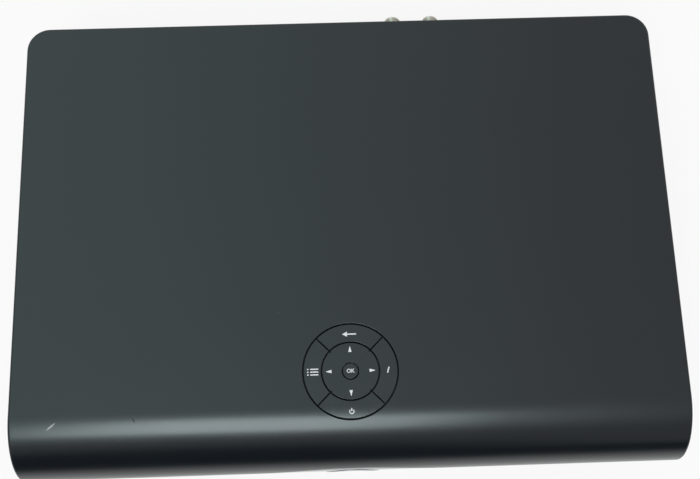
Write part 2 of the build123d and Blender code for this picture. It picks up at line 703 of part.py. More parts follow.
# ---------------------------------------------------------------------------------------------
# Status lens, lights and front board
# ---------------------------------------------------------------------------------------------
def status_lens():
    """Round lens that follows the nose, a little proud of it, with a flange behind the fascia."""
    behind = FRONT + FRONT_BOARD_RUN
    disc = rod(LENS_R, (0, FRONT - ROLL_R, LENS_Z), (0, behind, LENS_Z)) & near_form(-LENS_PROUD)
    rim = [edge for edge in disc.edges() if edge.geom_type not in (GeomType.LINE, GeomType.CIRCLE)
           and edge.length > LENS_R]
    disc = chamfer(rim, LENS_EDGE) - near_form(FASCIA_WALL)
    neck = tube(LENS_R, LENS_R - 1, (0, FRONT, LENS_Z), (0, behind, LENS_Z)) & near_form(LENS_EDGE)
    flange = tube(LENS_FLANGE_R, LENS_R - 1, (0, FRONT, LENS_Z), (0, behind, LENS_Z))
    flange &= near_form(FASCIA_WALL + PIN_GAP)
    return disc + (neck + flange - near_form(FASCIA_WALL + LENS_FLANGE_T))


def light_ring():
    """Four light-guide arcs between the lens and the light emitters."""
    end = FRONT + FRONT_BOARD_RUN - LED_T
    ring = tube(LIGHT_RING_R, LIGHT_RING_R - LIGHT_RING_T, (0, FRONT, LENS_Z), (0, end, LENS_Z))
    ring &= near_form(FASCIA_WALL + FIT_GAP)
    for span_x, span_z in ((LIGHT_RING_SLIT, FAR), (FAR, LIGHT_RING_SLIT)):
        ring -= block(around(0, span_x), (FRONT, end), around(LENS_Z, span_z))
    return group([ring])


def indicator_lights():
    """Round light pipes, flush with the fascia."""
    end = FRONT + FRONT_BOARD_RUN - LED_T
    pipes = [rod(INDICATOR_R, (x, FRONT, INDICATOR_Z), (x, end, INDICATOR_Z)) for x in INDICATOR_X]
    return group([pipe & near_form(0) for pipe in pipes])


def infrared_window():
    """Smoked window of the remote-control receiver, flush with the fascia."""
    span_z = around(WINDOW_Z, WINDOW_SIZE[1])
    plate = block(around(WINDOW_X, WINDOW_SIZE[0]), (FRONT, FRONT + FRONT_BOARD_RUN), span_z)
    return (plate & near_form(0)) - near_form(FASCIA_WALL)


def front_board():
    """Upright board on the fascia's posts."""
    return block(FRONT_BOARD_X, upward(FRONT + FRONT_BOARD_RUN, BOARD_T), FRONT_BOARD_Z)


def front_leds():
    """Light emitters behind the ring and the light pipes, and the infrared receiver."""
    depth = (FRONT + FRONT_BOARD_RUN - LED_T, FRONT + FRONT_BOARD_RUN)
    middle_r = LIGHT_RING_R - LIGHT_RING_T / 2
    spots = [polar(middle_r, 360 * (index + 0.5) / RING_LEDS, (0, LENS_Z)) for index in range(RING_LEDS)]
    spots += [(x, INDICATOR_Z) for x in INDICATOR_X]
    chips = [block(around(x, LED_SIDE), depth, around(z, LED_SIDE)) for x, z in spots]
    eye = block(around(WINDOW_X, LED_SIDE * 2), (depth[0] - LED_T * 2, depth[1]), around(WINDOW_Z, LED_SIDE * 2))
    return group([*chips, eye])


def card_reader():
    """Viewing-card reader behind the flap, on four legs."""
    front = FRONT + BAY_RUN + FIT_GAP
    span_y = (front, front + READER_DEPTH)
    body = block(READER_X, span_y, READER_Z)
    middle_x = (READER_X[0] + READER_X[1]) / 2
    middle_z = (READER_Z[0] + READER_Z[1]) / 2
    slot = block(around(middle_x, CARD_SLOT[0]), (front - 1, front + CARD_DEPTH), around(middle_z, CARD_SLOT[1]))
    body -= slot
    mouth = [edge for edge in body.edges().filter_by(Axis.X).group_by(Axis.Y)[0]
             if abs(edge.center().Z - middle_z) < CARD_SLOT[1]]
    body = chamfer(mouth, CARD_SLOT[1])
    for x in (READER_X[0] + FIXING_INSET, READER_X[1] - FIXING_INSET):
        for y in (span_y[0] + 2 * FIXING_INSET, span_y[1] - FIXING_INSET):
            body += block(around(x, READER_LEG), around(y, READER_LEG), (FLOOR, READER_Z[0]))
    return body


# ---------------------------------------------------------------------------------------------
# Keys, rocker and switches
# ---------------------------------------------------------------------------------------------
def band(inner_r, outer_r, angle):
    """Quarter ring around a key's direction, short of its spokes by half a gap."""
    corner = polar(SPOKE_GAP / 2 * sqrt(2), angle)
    wedge = Pos(*corner) * Rot(0, 0, angle - 45) * Rectangle(2 * outer_r, 2 * outer_r, align=(Align.MIN, Align.MIN))
    return Pos(0, KEY_Y) * ((Circle(outer_r) - Circle(inner_r)) & wedge)


def skin_layer(face, top_inset, low_inset):
    """Plan face raised into the layer of the case between two insets."""
    column = raised(face, (NOSE_Z, CASE_HEIGHT))
    return (column & near_form(top_inset)) - near_form(low_inset)


def outer_key(angle):
    """Quarter-ring key: curved cap, rim wall, retaining flange and stem."""
    cap = skin_layer(band(KEY_INNER_R, KEY_OUTER_R, angle), 0, KEY_WALL)
    low = FLANGE_INSET + FLANGE_T
    cap += skin_layer(band(KEY_OUTER_R - KEY_SKIRT, KEY_OUTER_R, angle), 0, low)
    cap += skin_layer(band(KEY_OUTER_R - KEY_SKIRT, KEY_OUTER_R + FLANGE_REACH, angle), FLANGE_INSET, low)
    x, y = polar(KEY_STEM_AT, angle, (0, KEY_Y))
    return cap + (rod(STEM_R, (x, y, STEM_FOOT), (x, y, CASE_HEIGHT)) & near_form(KEY_WALL / 2))


def plunger(x, y):
    """Square switch plunger under a key's stem."""
    return block(around(x, PLUNGER_SIDE), around(y, PLUNGER_SIDE), (SWITCH_TOP - PLUNGER_SUNK, STEM_FOOT))


def outer_plunger(angle):
    """Plunger of one outer key."""
    return plunger(*polar(KEY_STEM_AT, angle, (0, KEY_Y)))


def rocker_spots():
    """Switch positions of the four-way rocker."""
    return [polar(ROCKER_STEM_AT, angle, (0, KEY_Y)) for angle in KEY_ANGLES.values()]


def rocker_ring():
    """Four-way ring with a sleeve, four stems and two gimbal pins."""
    plan = Pos(0, KEY_Y) * (Circle(ROCKER_R) - Circle(ROCKER_BORE_R))
    ring = skin_layer(plan, 0, KEY_WALL)
    sleeve_r = ROCKER_BORE_R + SLEEVE_WALL
    ring += tube(sleeve_r, ROCKER_BORE_R, (0, KEY_Y, PIVOT_Z - HOOP_T / 2), (0, KEY_Y, CASE_HEIGHT - KEY_WALL))
    for x, y in rocker_spots():
        ring += rod(STEM_R, (x, y, STEM_FOOT), (x, y, CASE_HEIGHT - KEY_WALL))
    for side in (-1, 1):
        start = (0, KEY_Y + side * (sleeve_r - SLEEVE_WALL / 2), PIVOT_Z)
        ring += rod(GIMBAL_PIN_R, start, (0, KEY_Y + side * (HOOP_OUTER_R - FIT_GAP), PIVOT_Z))
    return ring


def rocker_hoop():
    """Gimbal hoop between the rocker and the key carrier."""
    hoop = tube(HOOP_OUTER_R, HOOP_INNER_R, (0, KEY_Y, PIVOT_Z - HOOP_T / 2), (0, KEY_Y, PIVOT_Z + HOOP_T / 2))
    reach = HOOP_OUTER_R + 1
    hoop -= rod(GIMBAL_PIN_R + PIN_GAP, (0, KEY_Y - reach, PIVOT_Z), (0, KEY_Y + reach, PIVOT_Z))
    for side in (-1, 1):
        start = (side * (HOOP_OUTER_R - (HOOP_OUTER_R - HOOP_INNER_R) / 2), KEY_Y, PIVOT_Z)
        end = (side * (GIMBAL_POST_AT + GIMBAL_POST[0] / 2), KEY_Y, PIVOT_Z)
        hoop += rod(GIMBAL_PIN_R, start, end)
    return hoop


def select_key():
    """Round key in the rocker's middle, with a skirt and a stem."""
    key = rod(SELECT_R, (0, KEY_Y, PIVOT_Z - HOOP_T / 2), (0, KEY_Y, CASE_HEIGHT))
    key -= tube(SELECT_R - 1, STEM_R, (0, KEY_Y, 0), (0, KEY_Y, CASE_HEIGHT - KEY_WALL))
    return key + rod(STEM_R, (0, KEY_Y, STEM_FOOT), (0, KEY_Y, CASE_HEIGHT - KEY_WALL))


def switch_spots():
    """All switch positions: four outer keys, four rocker directions and select."""
    outer = [polar(KEY_STEM_AT, angle, (0, KEY_Y)) for angle in KEY_ANGLES.values()]
    return [*outer, *rocker_spots(), (0, KEY_Y)]


def button_bezel():
    """Carrier under the lid: floor with stem holes, guide wall, ears, spacers and gimbal posts."""
    floor_z = (CARRIER_TOP - CARRIER_T, CARRIER_TOP)
    carrier = rod(CARRIER_R, (0, KEY_Y, floor_z[0]), (0, KEY_Y, floor_z[1]))
    carrier += tube(CARRIER_R, CARRIER_R - CARRIER_WALL, (0, KEY_Y, floor_z[0]), (0, KEY_Y, CARRIER_WALL_TOP))
    for x, y in carrier_points():
        ear = Pos(x / 2, (y + KEY_Y) / 2) * SlotCenterToCenter(
            CARRIER_EAR_AT, 2 * CARRIER_EAR_R, rotation=degrees(atan2(y - KEY_Y, x)))
        carrier += raised(ear, floor_z)
        carrier += hexagon(CARRIER_POST_R, (x, y, SWITCH_BOARD_TOP), (x, y, floor_z[0]))
        carrier -= screw_hole((x, y, 0), (x, y, CASE_HEIGHT))
    for x, y in switch_spots():
        carrier -= rod(STEM_R + STEM_GAP, (x, y, 0), (x, y, CASE_HEIGHT))
    for side in (-1, 1):
        post = block(around(side * GIMBAL_POST_AT, GIMBAL_POST[0]), around(KEY_Y, GIMBAL_POST[1]),
                     (CARRIER_TOP, PIVOT_Z + GIMBAL_PIN_R + PIN_GAP + 0.6))
        carrier += post
    reach = GIMBAL_POST_AT + 2
    carrier -= rod(GIMBAL_PIN_R + PIN_GAP, (-reach, KEY_Y, PIVOT_Z), (reach, KEY_Y, PIVOT_Z))
    return carrier


def switch_board():
    """Small board that carries the key switches."""
    board = block(around(0, SWITCH_BOARD_SIDE), around(KEY_Y, SWITCH_BOARD_SIDE),
                  (SWITCH_BOARD_TOP - BOARD_T, SWITCH_BOARD_TOP))
    return drilled(board, carrier_points())


def switch_bodies():
    """Nine push switches with wells for their plungers."""
    bodies = []
    well = PLUNGER_SIDE + 2 * STEM_GAP
    for x, y in switch_spots():
        body = block(around(x, SWITCH_SIDE), around(y, SWITCH_SIDE), (SWITCH_BOARD_TOP, SWITCH_TOP))
        bodies.append(body - block(around(x, well), around(y, well), (SWITCH_TOP - WELL_DEPTH, CASE_HEIGHT)))
    return group(bodies)


# ---------------------------------------------------------------------------------------------
# Boards, power supply, disk and fan
# ---------------------------------------------------------------------------------------------
def main_board():
    """Main board at the rear left, under the tuner can and the sockets."""
    return drilled(block(MAIN_BOARD_X, MAIN_BOARD_Y, (BOARD_Z, BOARD_TOP)), main_standoffs())


def power_board():
    """Power supply board on the right, with its terminal blocks."""
    board = drilled(block(POWER_BOARD_X, POWER_BOARD_Y, (BOARD_Z, BOARD_TOP)), power_standoffs())
    board += block(around(INLET_X, PLUG_SIZE[0]), (POWER_BOARD_Y[1] - PLUG_SIZE[1], POWER_BOARD_Y[1]),
                   upward(BOARD_TOP, PLUG_SIZE[2]))
    return board + block(upward(POWER_BOARD_X[0] + 2, PLUG_SIZE[2]), around(POWER_LEAD_Y, PLUG_SIZE[0] + 8),
                         upward(BOARD_TOP, PLUG_SIZE[2]))


def ribbon_plug_y():
    """Y of the main board socket that takes the key ribbon."""
    return MAIN_BOARD_Y[0] + PLUG_SIZE[1]


def main_chips():
    """Processor, memory and the board's lead sockets."""
    x, y, side, thick = PROCESSOR
    pieces = [block(around(x, side), around(y, side), upward(BOARD_TOP, thick))]
    for row in (-1, 1):
        for column in (-1, 1):
            pieces.append(block(
                around(x - side * 1.2, MEMORY_SIZE[0]) if column < 0 else around(x + side * 0.95, MEMORY_SIZE[0]),
                around(y + row * side / 3, MEMORY_SIZE[1]), upward(BOARD_TOP, MEMORY_SIZE[2]),
            ))
    pieces.append(block(around(RIBBON_X, PLUG_SIZE[0]), around(ribbon_plug_y(), PLUG_SIZE[2]),
                        upward(BOARD_TOP, PLUG_SIZE[1])))
    pieces.append(block(around(DISK_LEAD_X, PLUG_SIZE[2]), upward(MAIN_BOARD_Y[0] + 2, PLUG_SIZE[1]),
                        upward(BOARD_TOP, PLUG_TALL)))
    pieces.append(block((MAIN_BOARD_X[1] - 2 - PLUG_SIZE[2], MAIN_BOARD_X[1] - 2),
                        around(POWER_LEAD_Y, PLUG_SIZE[0] + 8), upward(BOARD_TOP, PLUG_SIZE[2])))
    return group(pieces)


def main_heat_sink():
    """Finned block on the processor."""
    x, y, _, thick = PROCESSOR
    base_z = BOARD_TOP + thick
    sink = block(around(x, SINK_SIDE), around(y, SINK_SIDE), upward(base_z, SINK_BASE))
    pitch = (SINK_SIDE - SINK_FIN_T) / (SINK_FINS - 1)
    for index in range(SINK_FINS):
        fin_x = x - SINK_SIDE / 2 + index * pitch
        sink += block(upward(fin_x, SINK_FIN_T), around(y, SINK_SIDE), (base_z, base_z + SINK_HEIGHT))
    return sink


def power_transformer():
    """Ferrite core on a bobbin with a round winding."""
    x, y, width, depth, height = TRANSFORMER
    leg = height / 5
    core = block(around(x, width), around(y, depth / 2), upward(BOARD_TOP, height))
    core -= block(around(x, width - 2 * leg), around(y, depth), (BOARD_TOP + leg, BOARD_TOP + height - leg))
    return core + rod(depth / 2, (x, y, BOARD_TOP + leg), (x, y, BOARD_TOP + height - leg))


def power_capacitors():
    """One large and four small upright capacitors."""
    x, y, radius, height = MAIN_CAPACITOR
    cans = [rod(radius, (x, y, BOARD_TOP), (x, y, BOARD_TOP + height))]
    for small_x in SMALL_CAPACITOR_X:
        foot = (small_x, SMALL_CAPACITOR_Y, BOARD_TOP)
        cans.append(rod(SMALL_CAPACITOR_R, foot, (small_x, SMALL_CAPACITOR_Y, BOARD_TOP + SMALL_CAPACITOR_H)))
    return group(cans)


def bracket_y():
    """Outer faces of the disk bracket's walls."""
    front = FRONT + BRACKET_RUN
    return front, front + DISK_SIZE[1] + 2 * (GROMMET_T + BRACKET_T)


def grommet_x():
    """Stations of the disk's side fixings."""
    return (DISK_X + GROMMET_END, DISK_X + DISK_SIZE[0] - GROMMET_END)


def hard_disk():
    """Disk drive: cast base with a raised cover and a recessed board underneath."""
    length, width, height = DISK_SIZE
    front = bracket_y()[0] + BRACKET_T + GROMMET_T
    span_x = upward(DISK_X, length)
    span_y = upward(front, width)
    base = block(span_x, span_y, upward(DISK_Z, height - 1))
    base = fillet(base.edges().filter_by(Axis.Z), 3)
    cover = block((span_x[0] + 4, span_x[1] - 4), (span_y[0] + 4, span_y[1] - 4), upward(DISK_Z, height))
    drive = base + fillet(cover.edges().filter_by(Axis.Z), 8)
    drive -= block((span_x[0] + 8, span_x[1] - 8), (span_y[0] + 6, span_y[1] - 6), upward(DISK_Z - 1, 4.5))
    for x in grommet_x():
        z = DISK_Z + GROMMET_UP
        drive -= screw_hole((x, span_y[0] - 1, z), (x, span_y[0] + BOARD_SCREW_LENGTH + 1, z))
        drive -= screw_hole((x, span_y[1] + 1, z), (x, span_y[1] - BOARD_SCREW_LENGTH - 1, z))
    return drive


def disk_bracket():
    """Sheet channel on the tray floor; its walls hold the disk by rubber grommets."""
    front, rear = bracket_y()
    span_x = upward(DISK_X, DISK_SIZE[0])
    channel = block(span_x, (front, rear), (FLOOR, BRACKET_TOP))
    channel -= block((span_x[0] - 1, span_x[1] + 1), (front + BRACKET_T, rear - BRACKET_T), (FLOOR + BRACKET_T, FAR))
    middle_y = (front + rear) / 2
    for x in (span_x[0] + DISK_SIZE[0] * 0.27, span_x[0] + DISK_SIZE[0] * 0.73):
        window = Pos(x, middle_y) * RectangleRounded(DISK_SIZE[0] * 0.32, DISK_SIZE[1] * 0.6, 8)
        channel -= raised(window, (0, FLOOR + BRACKET_T + 1))
    for x in grommet_x():
        z = DISK_Z + GROMMET_UP
        channel -= screw_hole((x, front - 1, z), (x, rear + 1, z), 2 * SCREW_GAP)
    return channel


def disk_grommets():
    """Rubber grommets between the disk and its bracket."""
    front, rear = bracket_y()
    z = DISK_Z + GROMMET_UP
    pads = []
    for x in grommet_x():
        for y in (front + BRACKET_T, rear - BRACKET_T - GROMMET_T):
            pad = rod(GROMMET_R, (x, y, z), (x, y + GROMMET_T, z))
            pads.append(pad - screw_hole((x, y - 1, z), (x, y + GROMMET_T + 1, z), 2 * SCREW_GAP))
    return group(pads)


def board_screws():
    """Screws of both boards, of the key carrier and of the disk."""
    spots = main_standoffs() + power_standoffs()
    screws = [small_screw((x, y, BOARD_TOP), (x, y, 0), BOARD_SCREW_LENGTH) for x, y in spots]
    low = SWITCH_BOARD_TOP - BOARD_T
    reach = CARRIER_TOP + CARRIER_POST_R - 1 - low
    screws += [small_screw((x, y, low), (x, y, CASE_HEIGHT), reach) for x, y in carrier_points()]
    front, rear = bracket_y()
    reach = BRACKET_T + GROMMET_T + BOARD_SCREW_LENGTH
    for x in grommet_x():
        z = DISK_Z + GROMMET_UP
        screws.append(small_screw((x, front, z), (x, rear, z), reach))
        screws.append(small_screw((x, rear, z), (x, front, z), reach))
    return group(screws)


def fan_frame():
    """Square fan housing on the rear panel, with a motor mount on four struts."""
    inner = PANEL_IN - FAN_T
    body = block(around(FAN_X, FAN_SIDE), (inner, PANEL_IN), around(FAN_Z, FAN_SIDE))
    body = fillet(body.edges().filter_by(Axis.Y), FAN_CORNER_R)
    body -= rod(FAN_BORE_R, (FAN_X, inner - 1, FAN_Z), (FAN_X, PANEL_IN + 1, FAN_Z))
    back = (inner, inner + FAN_BACK_T)
    struts = block(around(0, 2 * FAN_BORE_R + 1), back, around(0, FAN_STRUT))
    struts += block(around(0, FAN_STRUT), back, around(0, 2 * FAN_BORE_R + 1))
    body += Pos(FAN_X, 0, FAN_Z) * Rot(0, 45, 0) * struts
    body += rod(FAN_HUB_R, (FAN_X, back[0], FAN_Z), (FAN_X, back[1], FAN_Z))
    body -= rod(FAN_SHAFT_R + PIN_GAP, (FAN_X, inner - 1, FAN_Z), (FAN_X, PANEL_IN, FAN_Z))
    for side_x in (-1, 1):
        for side_z in (-1, 1):
            x = FAN_X + side_x * FAN_HOLES / 2
            z = FAN_Z + side_z * FAN_HOLES / 2
            body -= rod(FAN_HOLE_R, (x, inner - 1, z), (x, PANEL_IN + 1, z))
    return body


def fan_rotor():
    """Hub with a shaft stub and pitched blades."""
    start = PANEL_IN - FAN_T + FAN_BACK_T + FIT_GAP
    hub_y = upward(start, FAN_HUB_LENGTH)
    rotor = rod(FAN_HUB_R, (FAN_X, hub_y[0], FAN_Z), (FAN_X, hub_y[1], FAN_Z))
    rotor += rod(FAN_SHAFT_R, (FAN_X, start - FAN_SHAFT_LENGTH, FAN_Z), (FAN_X, hub_y[1], FAN_Z))
    middle = (hub_y[0] + hub_y[1]) / 2
    blade = block((FAN_HUB_R - 1, BLADE_R + 1), around(0, BLADE_T), around(0, BLADE_CHORD))
    blade = Rot(90 - BLADE_PITCH, 0, 0) * blade
    blade &= rod(BLADE_R, (0, -FAN_HUB_LENGTH / 2, 0), (0, FAN_HUB_LENGTH / 2, 0))
    for index in range(FAN_BLADES):
        rotor += Pos(FAN_X, middle, FAN_Z) * Rot(0, 360 * index / FAN_BLADES, 0) * blade
    return rotor


# ---------------------------------------------------------------------------------------------
# Leads inside the case
# ---------------------------------------------------------------------------------------------
def button_ribbon():
    """Flat lead from the switch board back over the disk and down to the main board."""
    z = SWITCH_BOARD_TOP - BOARD_T / 2
    start = KEY_Y + SWITCH_BOARD_SIDE / 2
    path = FilletPolyline(
        (start, z), (ribbon_plug_y(), z), (ribbon_plug_y(), BOARD_TOP + PLUG_SIZE[1]), radius=RIBBON_BEND_R
    )
    strip = extrude(Plane.YZ * trace(path, line_width=RIBBON_T), amount=RIBBON_WIDTH / 2, both=True)
    return Pos(RIBBON_X, 0, 0) * strip


def disk_lead():
    """Flat data lead on edge from the disk's end to the main board."""
    path = FilletPolyline(
        (DISK_X + DISK_SIZE[0], DISK_LEAD_Y), (DISK_LEAD_X, DISK_LEAD_Y), (DISK_LEAD_X, MAIN_BOARD_Y[0] + 2),
        radius=DISK_LEAD_BEND_R,
    )
    return raised(trace(path, line_width=DISK_LEAD_T), DISK_LEAD_Z)


def mains_lead():
    """Flat twin lead from the mains inlet down to the power board."""
    start = PANEL_OUT - INLET_BODY[1]
    down = POWER_BOARD_Y[1] - PLUG_SIZE[1] / 2
    path = FilletPolyline((start, INLET_Z), (down, INLET_Z), (down, BOARD_TOP + PLUG_SIZE[2]), radius=MAINS_BEND_R)
    width = 2 * INLET_HALF + MAINS_WIRE_T
    strip = extrude(Plane.YZ * trace(path, line_width=MAINS_WIRE_T), amount=width / 2, both=True)
    return Pos(INLET_X, 0, 0) * strip


def power_lead():
    """Flat lead that hops from the power board to the main board."""
    from_x = POWER_BOARD_X[0] + 2 + PLUG_SIZE[2] / 2
    to_x = MAIN_BOARD_X[1] - 2 - PLUG_SIZE[2] / 2
    foot = BOARD_TOP + PLUG_SIZE[2]
    top = foot + POWER_LEAD_RISE
    path = FilletPolyline((from_x, foot), (from_x, top), (to_x, top), (to_x, foot), radius=POWER_LEAD_RISE / 2)
    strip = extrude(Plane.XZ * trace(path, line_width=DISK_LEAD_T), amount=PLUG_SIZE[0] / 2, both=True)
    return Pos(0, POWER_LEAD_Y, 0) * strip


# ---------------------------------------------------------------------------------------------
# Rear sockets
# ---------------------------------------------------------------------------------------------
def dish_x():
    """Stations of the two dish connectors."""
    return (TUNER_X - DISH_SPACING / 2, TUNER_X + DISH_SPACING / 2)


def socket(x, body, hole, hole_up=HOLE_UP):
    """Plastic board socket with a rectangular hole in its rear face."""
    solid = block(around(x, body[0]), inward(body[1], SOCKET_PROUD), upward(BOARD_TOP, body[2]))
    mouth = (PANEL_OUT + SOCKET_PROUD - hole[2], PANEL_OUT + 2)
    return solid - block(around(x, hole[0]), mouth, upward(BOARD_TOP + hole_up, hole[1]))


def jack(x, body, hole, latch):
    """Modular jack: socket with a stepped slot for the plug's latch."""
    mouth = (PANEL_OUT + SOCKET_PROUD - hole[2], PANEL_OUT + 2)
    top = BOARD_TOP + HOLE_UP + hole[1]
    return socket(x, body, hole) - block(around(x, latch[0]), mouth, (top - 1, top + latch[1]))


def network_socket():
    """Network jack."""
    return jack(NETWORK_X, NETWORK_BODY, NETWORK_HOLE, NETWORK_LATCH)


def phone_socket():
    """Telephone jack."""
    return jack(PHONE_X, PHONE_BODY, PHONE_HOLE, PHONE_LATCH)


def hdmi_socket():
    """Digital video socket: mouth with cut lower corners round a tongue."""
    mouth = Plane.XZ * (Pos(HDMI_X, BOARD_TOP + HDMI_BODY[2] / 2) * Rectangle(HDMI_HOLE[0], HDMI_HOLE[1]))
    cut = extrude(mouth, amount=HDMI_HOLE[2])
    low = cut.edges().filter_by(Axis.Y).group_by(Axis.Z)[0]
    cut = Pos(0, PANEL_OUT + SOCKET_PROUD, 0) * chamfer(low, HDMI_HOLE[1] / 3)
    body = block(around(HDMI_X, HDMI_BODY[0]), inward(HDMI_BODY[1], SOCKET_PROUD), upward(BOARD_TOP, HDMI_BODY[2]))
    tongue_z = around(BOARD_TOP + HDMI_BODY[2] / 2 + 0.4, HDMI_TONGUE)
    depth = (PANEL_OUT + SOCKET_PROUD - HDMI_HOLE[2], PANEL_OUT)
    return body - cut + block(around(HDMI_X, HDMI_HOLE[0] - 2.4), depth, tongue_z)


def usb_socket():
    """Serial bus socket round a tongue."""
    body = socket(USB_X, USB_BODY, USB_HOLE, (USB_BODY[2] - USB_HOLE[1]) / 2)
    depth = (PANEL_OUT + SOCKET_PROUD - USB_HOLE[2], PANEL_OUT)
    tongue_z = around(BOARD_TOP + USB_BODY[2] / 2 + 0.6, USB_TONGUE)
    return body + block(around(USB_X, USB_HOLE[0] - 1.4), depth, tongue_z)


def optical_socket():
    """Optical output with a shuttered mouth."""
    return socket(OPTICAL_X, OPTICAL_BODY, OPTICAL_HOLE, (OPTICAL_BODY[2] - OPTICAL_HOLE[1]) / 2)


def scart_outline(level, grow, depth):
    """Outline of one 21-pin outlet, with one slanted corner, through a span of depth."""
    width, height = (SCART_FACE[0] + 2 * grow, SCART_FACE[1] + 2 * grow)
    face = Pos(SCART_X, BOARD_TOP + level) * Rectangle(width, height)
    corner = face.vertices().sort_by(Axis.X)[:2].sort_by(Axis.Y)[:1]
    face = chamfer(corner, SCART_CORNER)
    return Pos(0, depth[1], 0) * extrude(Plane.XZ * face, amount=depth[1] - depth[0])


def scart_sockets():
    """Two stacked 21-pin audio-video outlets in one housing."""
    face_y = PANEL_OUT + SCART_PROUD
    block_y = (PANEL_IN - SCART_BODY[1], PANEL_IN - FIT_GAP)
    housing = block(around(SCART_X, SCART_BODY[0]), block_y, upward(BOARD_TOP, SCART_BODY[2]))
    for level in SCART_LEVELS:
        housing += scart_outline(level, 0, (PANEL_IN - 1, face_y))
        groove = scart_outline(level, -SCART_GROOVE, (face_y - SCART_GROOVE_DEPTH, face_y + 1))
        groove -= scart_outline(level, -2 * SCART_GROOVE, (face_y - FAR, face_y + 2))
        housing -= groove
    return housing


def audio_sockets():
    """Two phono outlets on one upright housing."""
    block_y = (PANEL_IN - AUDIO_BODY[1], PANEL_IN - FIT_GAP)
    housing = block(around(AUDIO_X, AUDIO_BODY[0]), block_y, upward(BOARD_TOP, AUDIO_BODY[2]))
    for level in AUDIO_LEVELS:
        z = BOARD_TOP + level
        housing += rod(PHONO_COLLAR[0], (AUDIO_X, PANEL_IN - 1, z), (AUDIO_X, PANEL_OUT + PHONO_COLLAR[1], z))
        housing += rod(PHONO_R, (AUDIO_X, PANEL_IN, z), (AUDIO_X, PANEL_OUT + PHONO_REACH, z))
        housing -= rod(PHONO_BORE_R, (AUDIO_X, PANEL_IN, z), (AUDIO_X, FAR, z))
    return housing


def tuner_can():
    """Tinplate screening can of the dish and aerial tuners."""
    width, depth, height = TUNER_SIZE
    can = block(around(TUNER_X, width), (PANEL_IN - depth, PANEL_IN), upward(BOARD_TOP, height))
    wall = TUNER_WALL
    return can - block(around(TUNER_X, width - 2 * wall), (PANEL_IN - depth + wall, PANEL_IN - wall),
                       (BOARD_TOP + wall, BOARD_TOP + height - wall))


def dish_connectors():
    """Two threaded dish inputs, each with its nut against the rear panel."""
    tip = REAR + CONNECTOR_REACH
    plugs = []
    for x in dish_x():
        barrel = rod(DISH_R, (x, PANEL_IN, DISH_Z), (x, tip, DISH_Z))
        nut = hexagon(DISH_NUT_R, (x, PANEL_OUT, DISH_Z), (x, PANEL_OUT + DISH_NUT_T, DISH_Z))
        plug = barrel + nut - rod(DISH_BORE_R, (x, tip - DISH_BORE_DEPTH, DISH_Z), (x, tip + 1, DISH_Z))
        plugs.append(plug - rod(DISH_CONTACT_R, (x, PANEL_OUT, DISH_Z), (x, tip, DISH_Z)))
    return group(plugs)


def aerial_sockets():
    """Two coaxial aerial outlets with centre contacts."""
    tip = PANEL_OUT + AERIAL_REACH
    sleeves = []
    for x in dish_x():
        sleeve = rod(AERIAL_R, (x, PANEL_IN, AERIAL_Z), (x, tip, AERIAL_Z))
        floor_y = tip - AERIAL_DEPTH
        well = tube(AERIAL_BORE_R, AERIAL_CONTACT_R, (x, floor_y, AERIAL_Z), (x, tip + 1, AERIAL_Z))
        sleeves.append(sleeve - well - rod(AERIAL_BORE_R, (x, tip - 1, AERIAL_Z), (x, tip + 1, AERIAL_Z)))
    return group(sleeves)


def mains_inlet():
    """Two-pin mains inlet: flange outside the panel, body inside, figure-of-eight recess."""
    face_y = PANEL_OUT + INLET_FLANGE[2]
    body = block(around(INLET_X, INLET_BODY[0]), (PANEL_OUT - INLET_BODY[1], face_y), around(INLET_Z, INLET_BODY[2]))
    body += block(around(INLET_X, INLET_FLANGE[0]), (PANEL_OUT, face_y), around(INLET_Z, INLET_FLANGE[1]))
    recess = SlotOverall(2 * (INLET_HALF + INLET_SLOT_R), 2 * INLET_SLOT_R)
    recess = extrude(Plane.XZ * (Pos(INLET_X, INLET_Z) * recess), amount=INLET_DEPTH)
    return body - Pos(0, face_y, 0) * recess


def mains_inlet_pins():
    """The inlet's two round pins."""
    floor_y = PANEL_OUT + INLET_FLANGE[2] - INLET_DEPTH
    pins = []
    for side in (-1, 1):
        x = INLET_X + side * INLET_HALF
        pins.append(rod(INLET_PIN_R, (x, floor_y, INLET_Z), (x, floor_y + INLET_PIN_LENGTH, INLET_Z)))
    return group(pins)


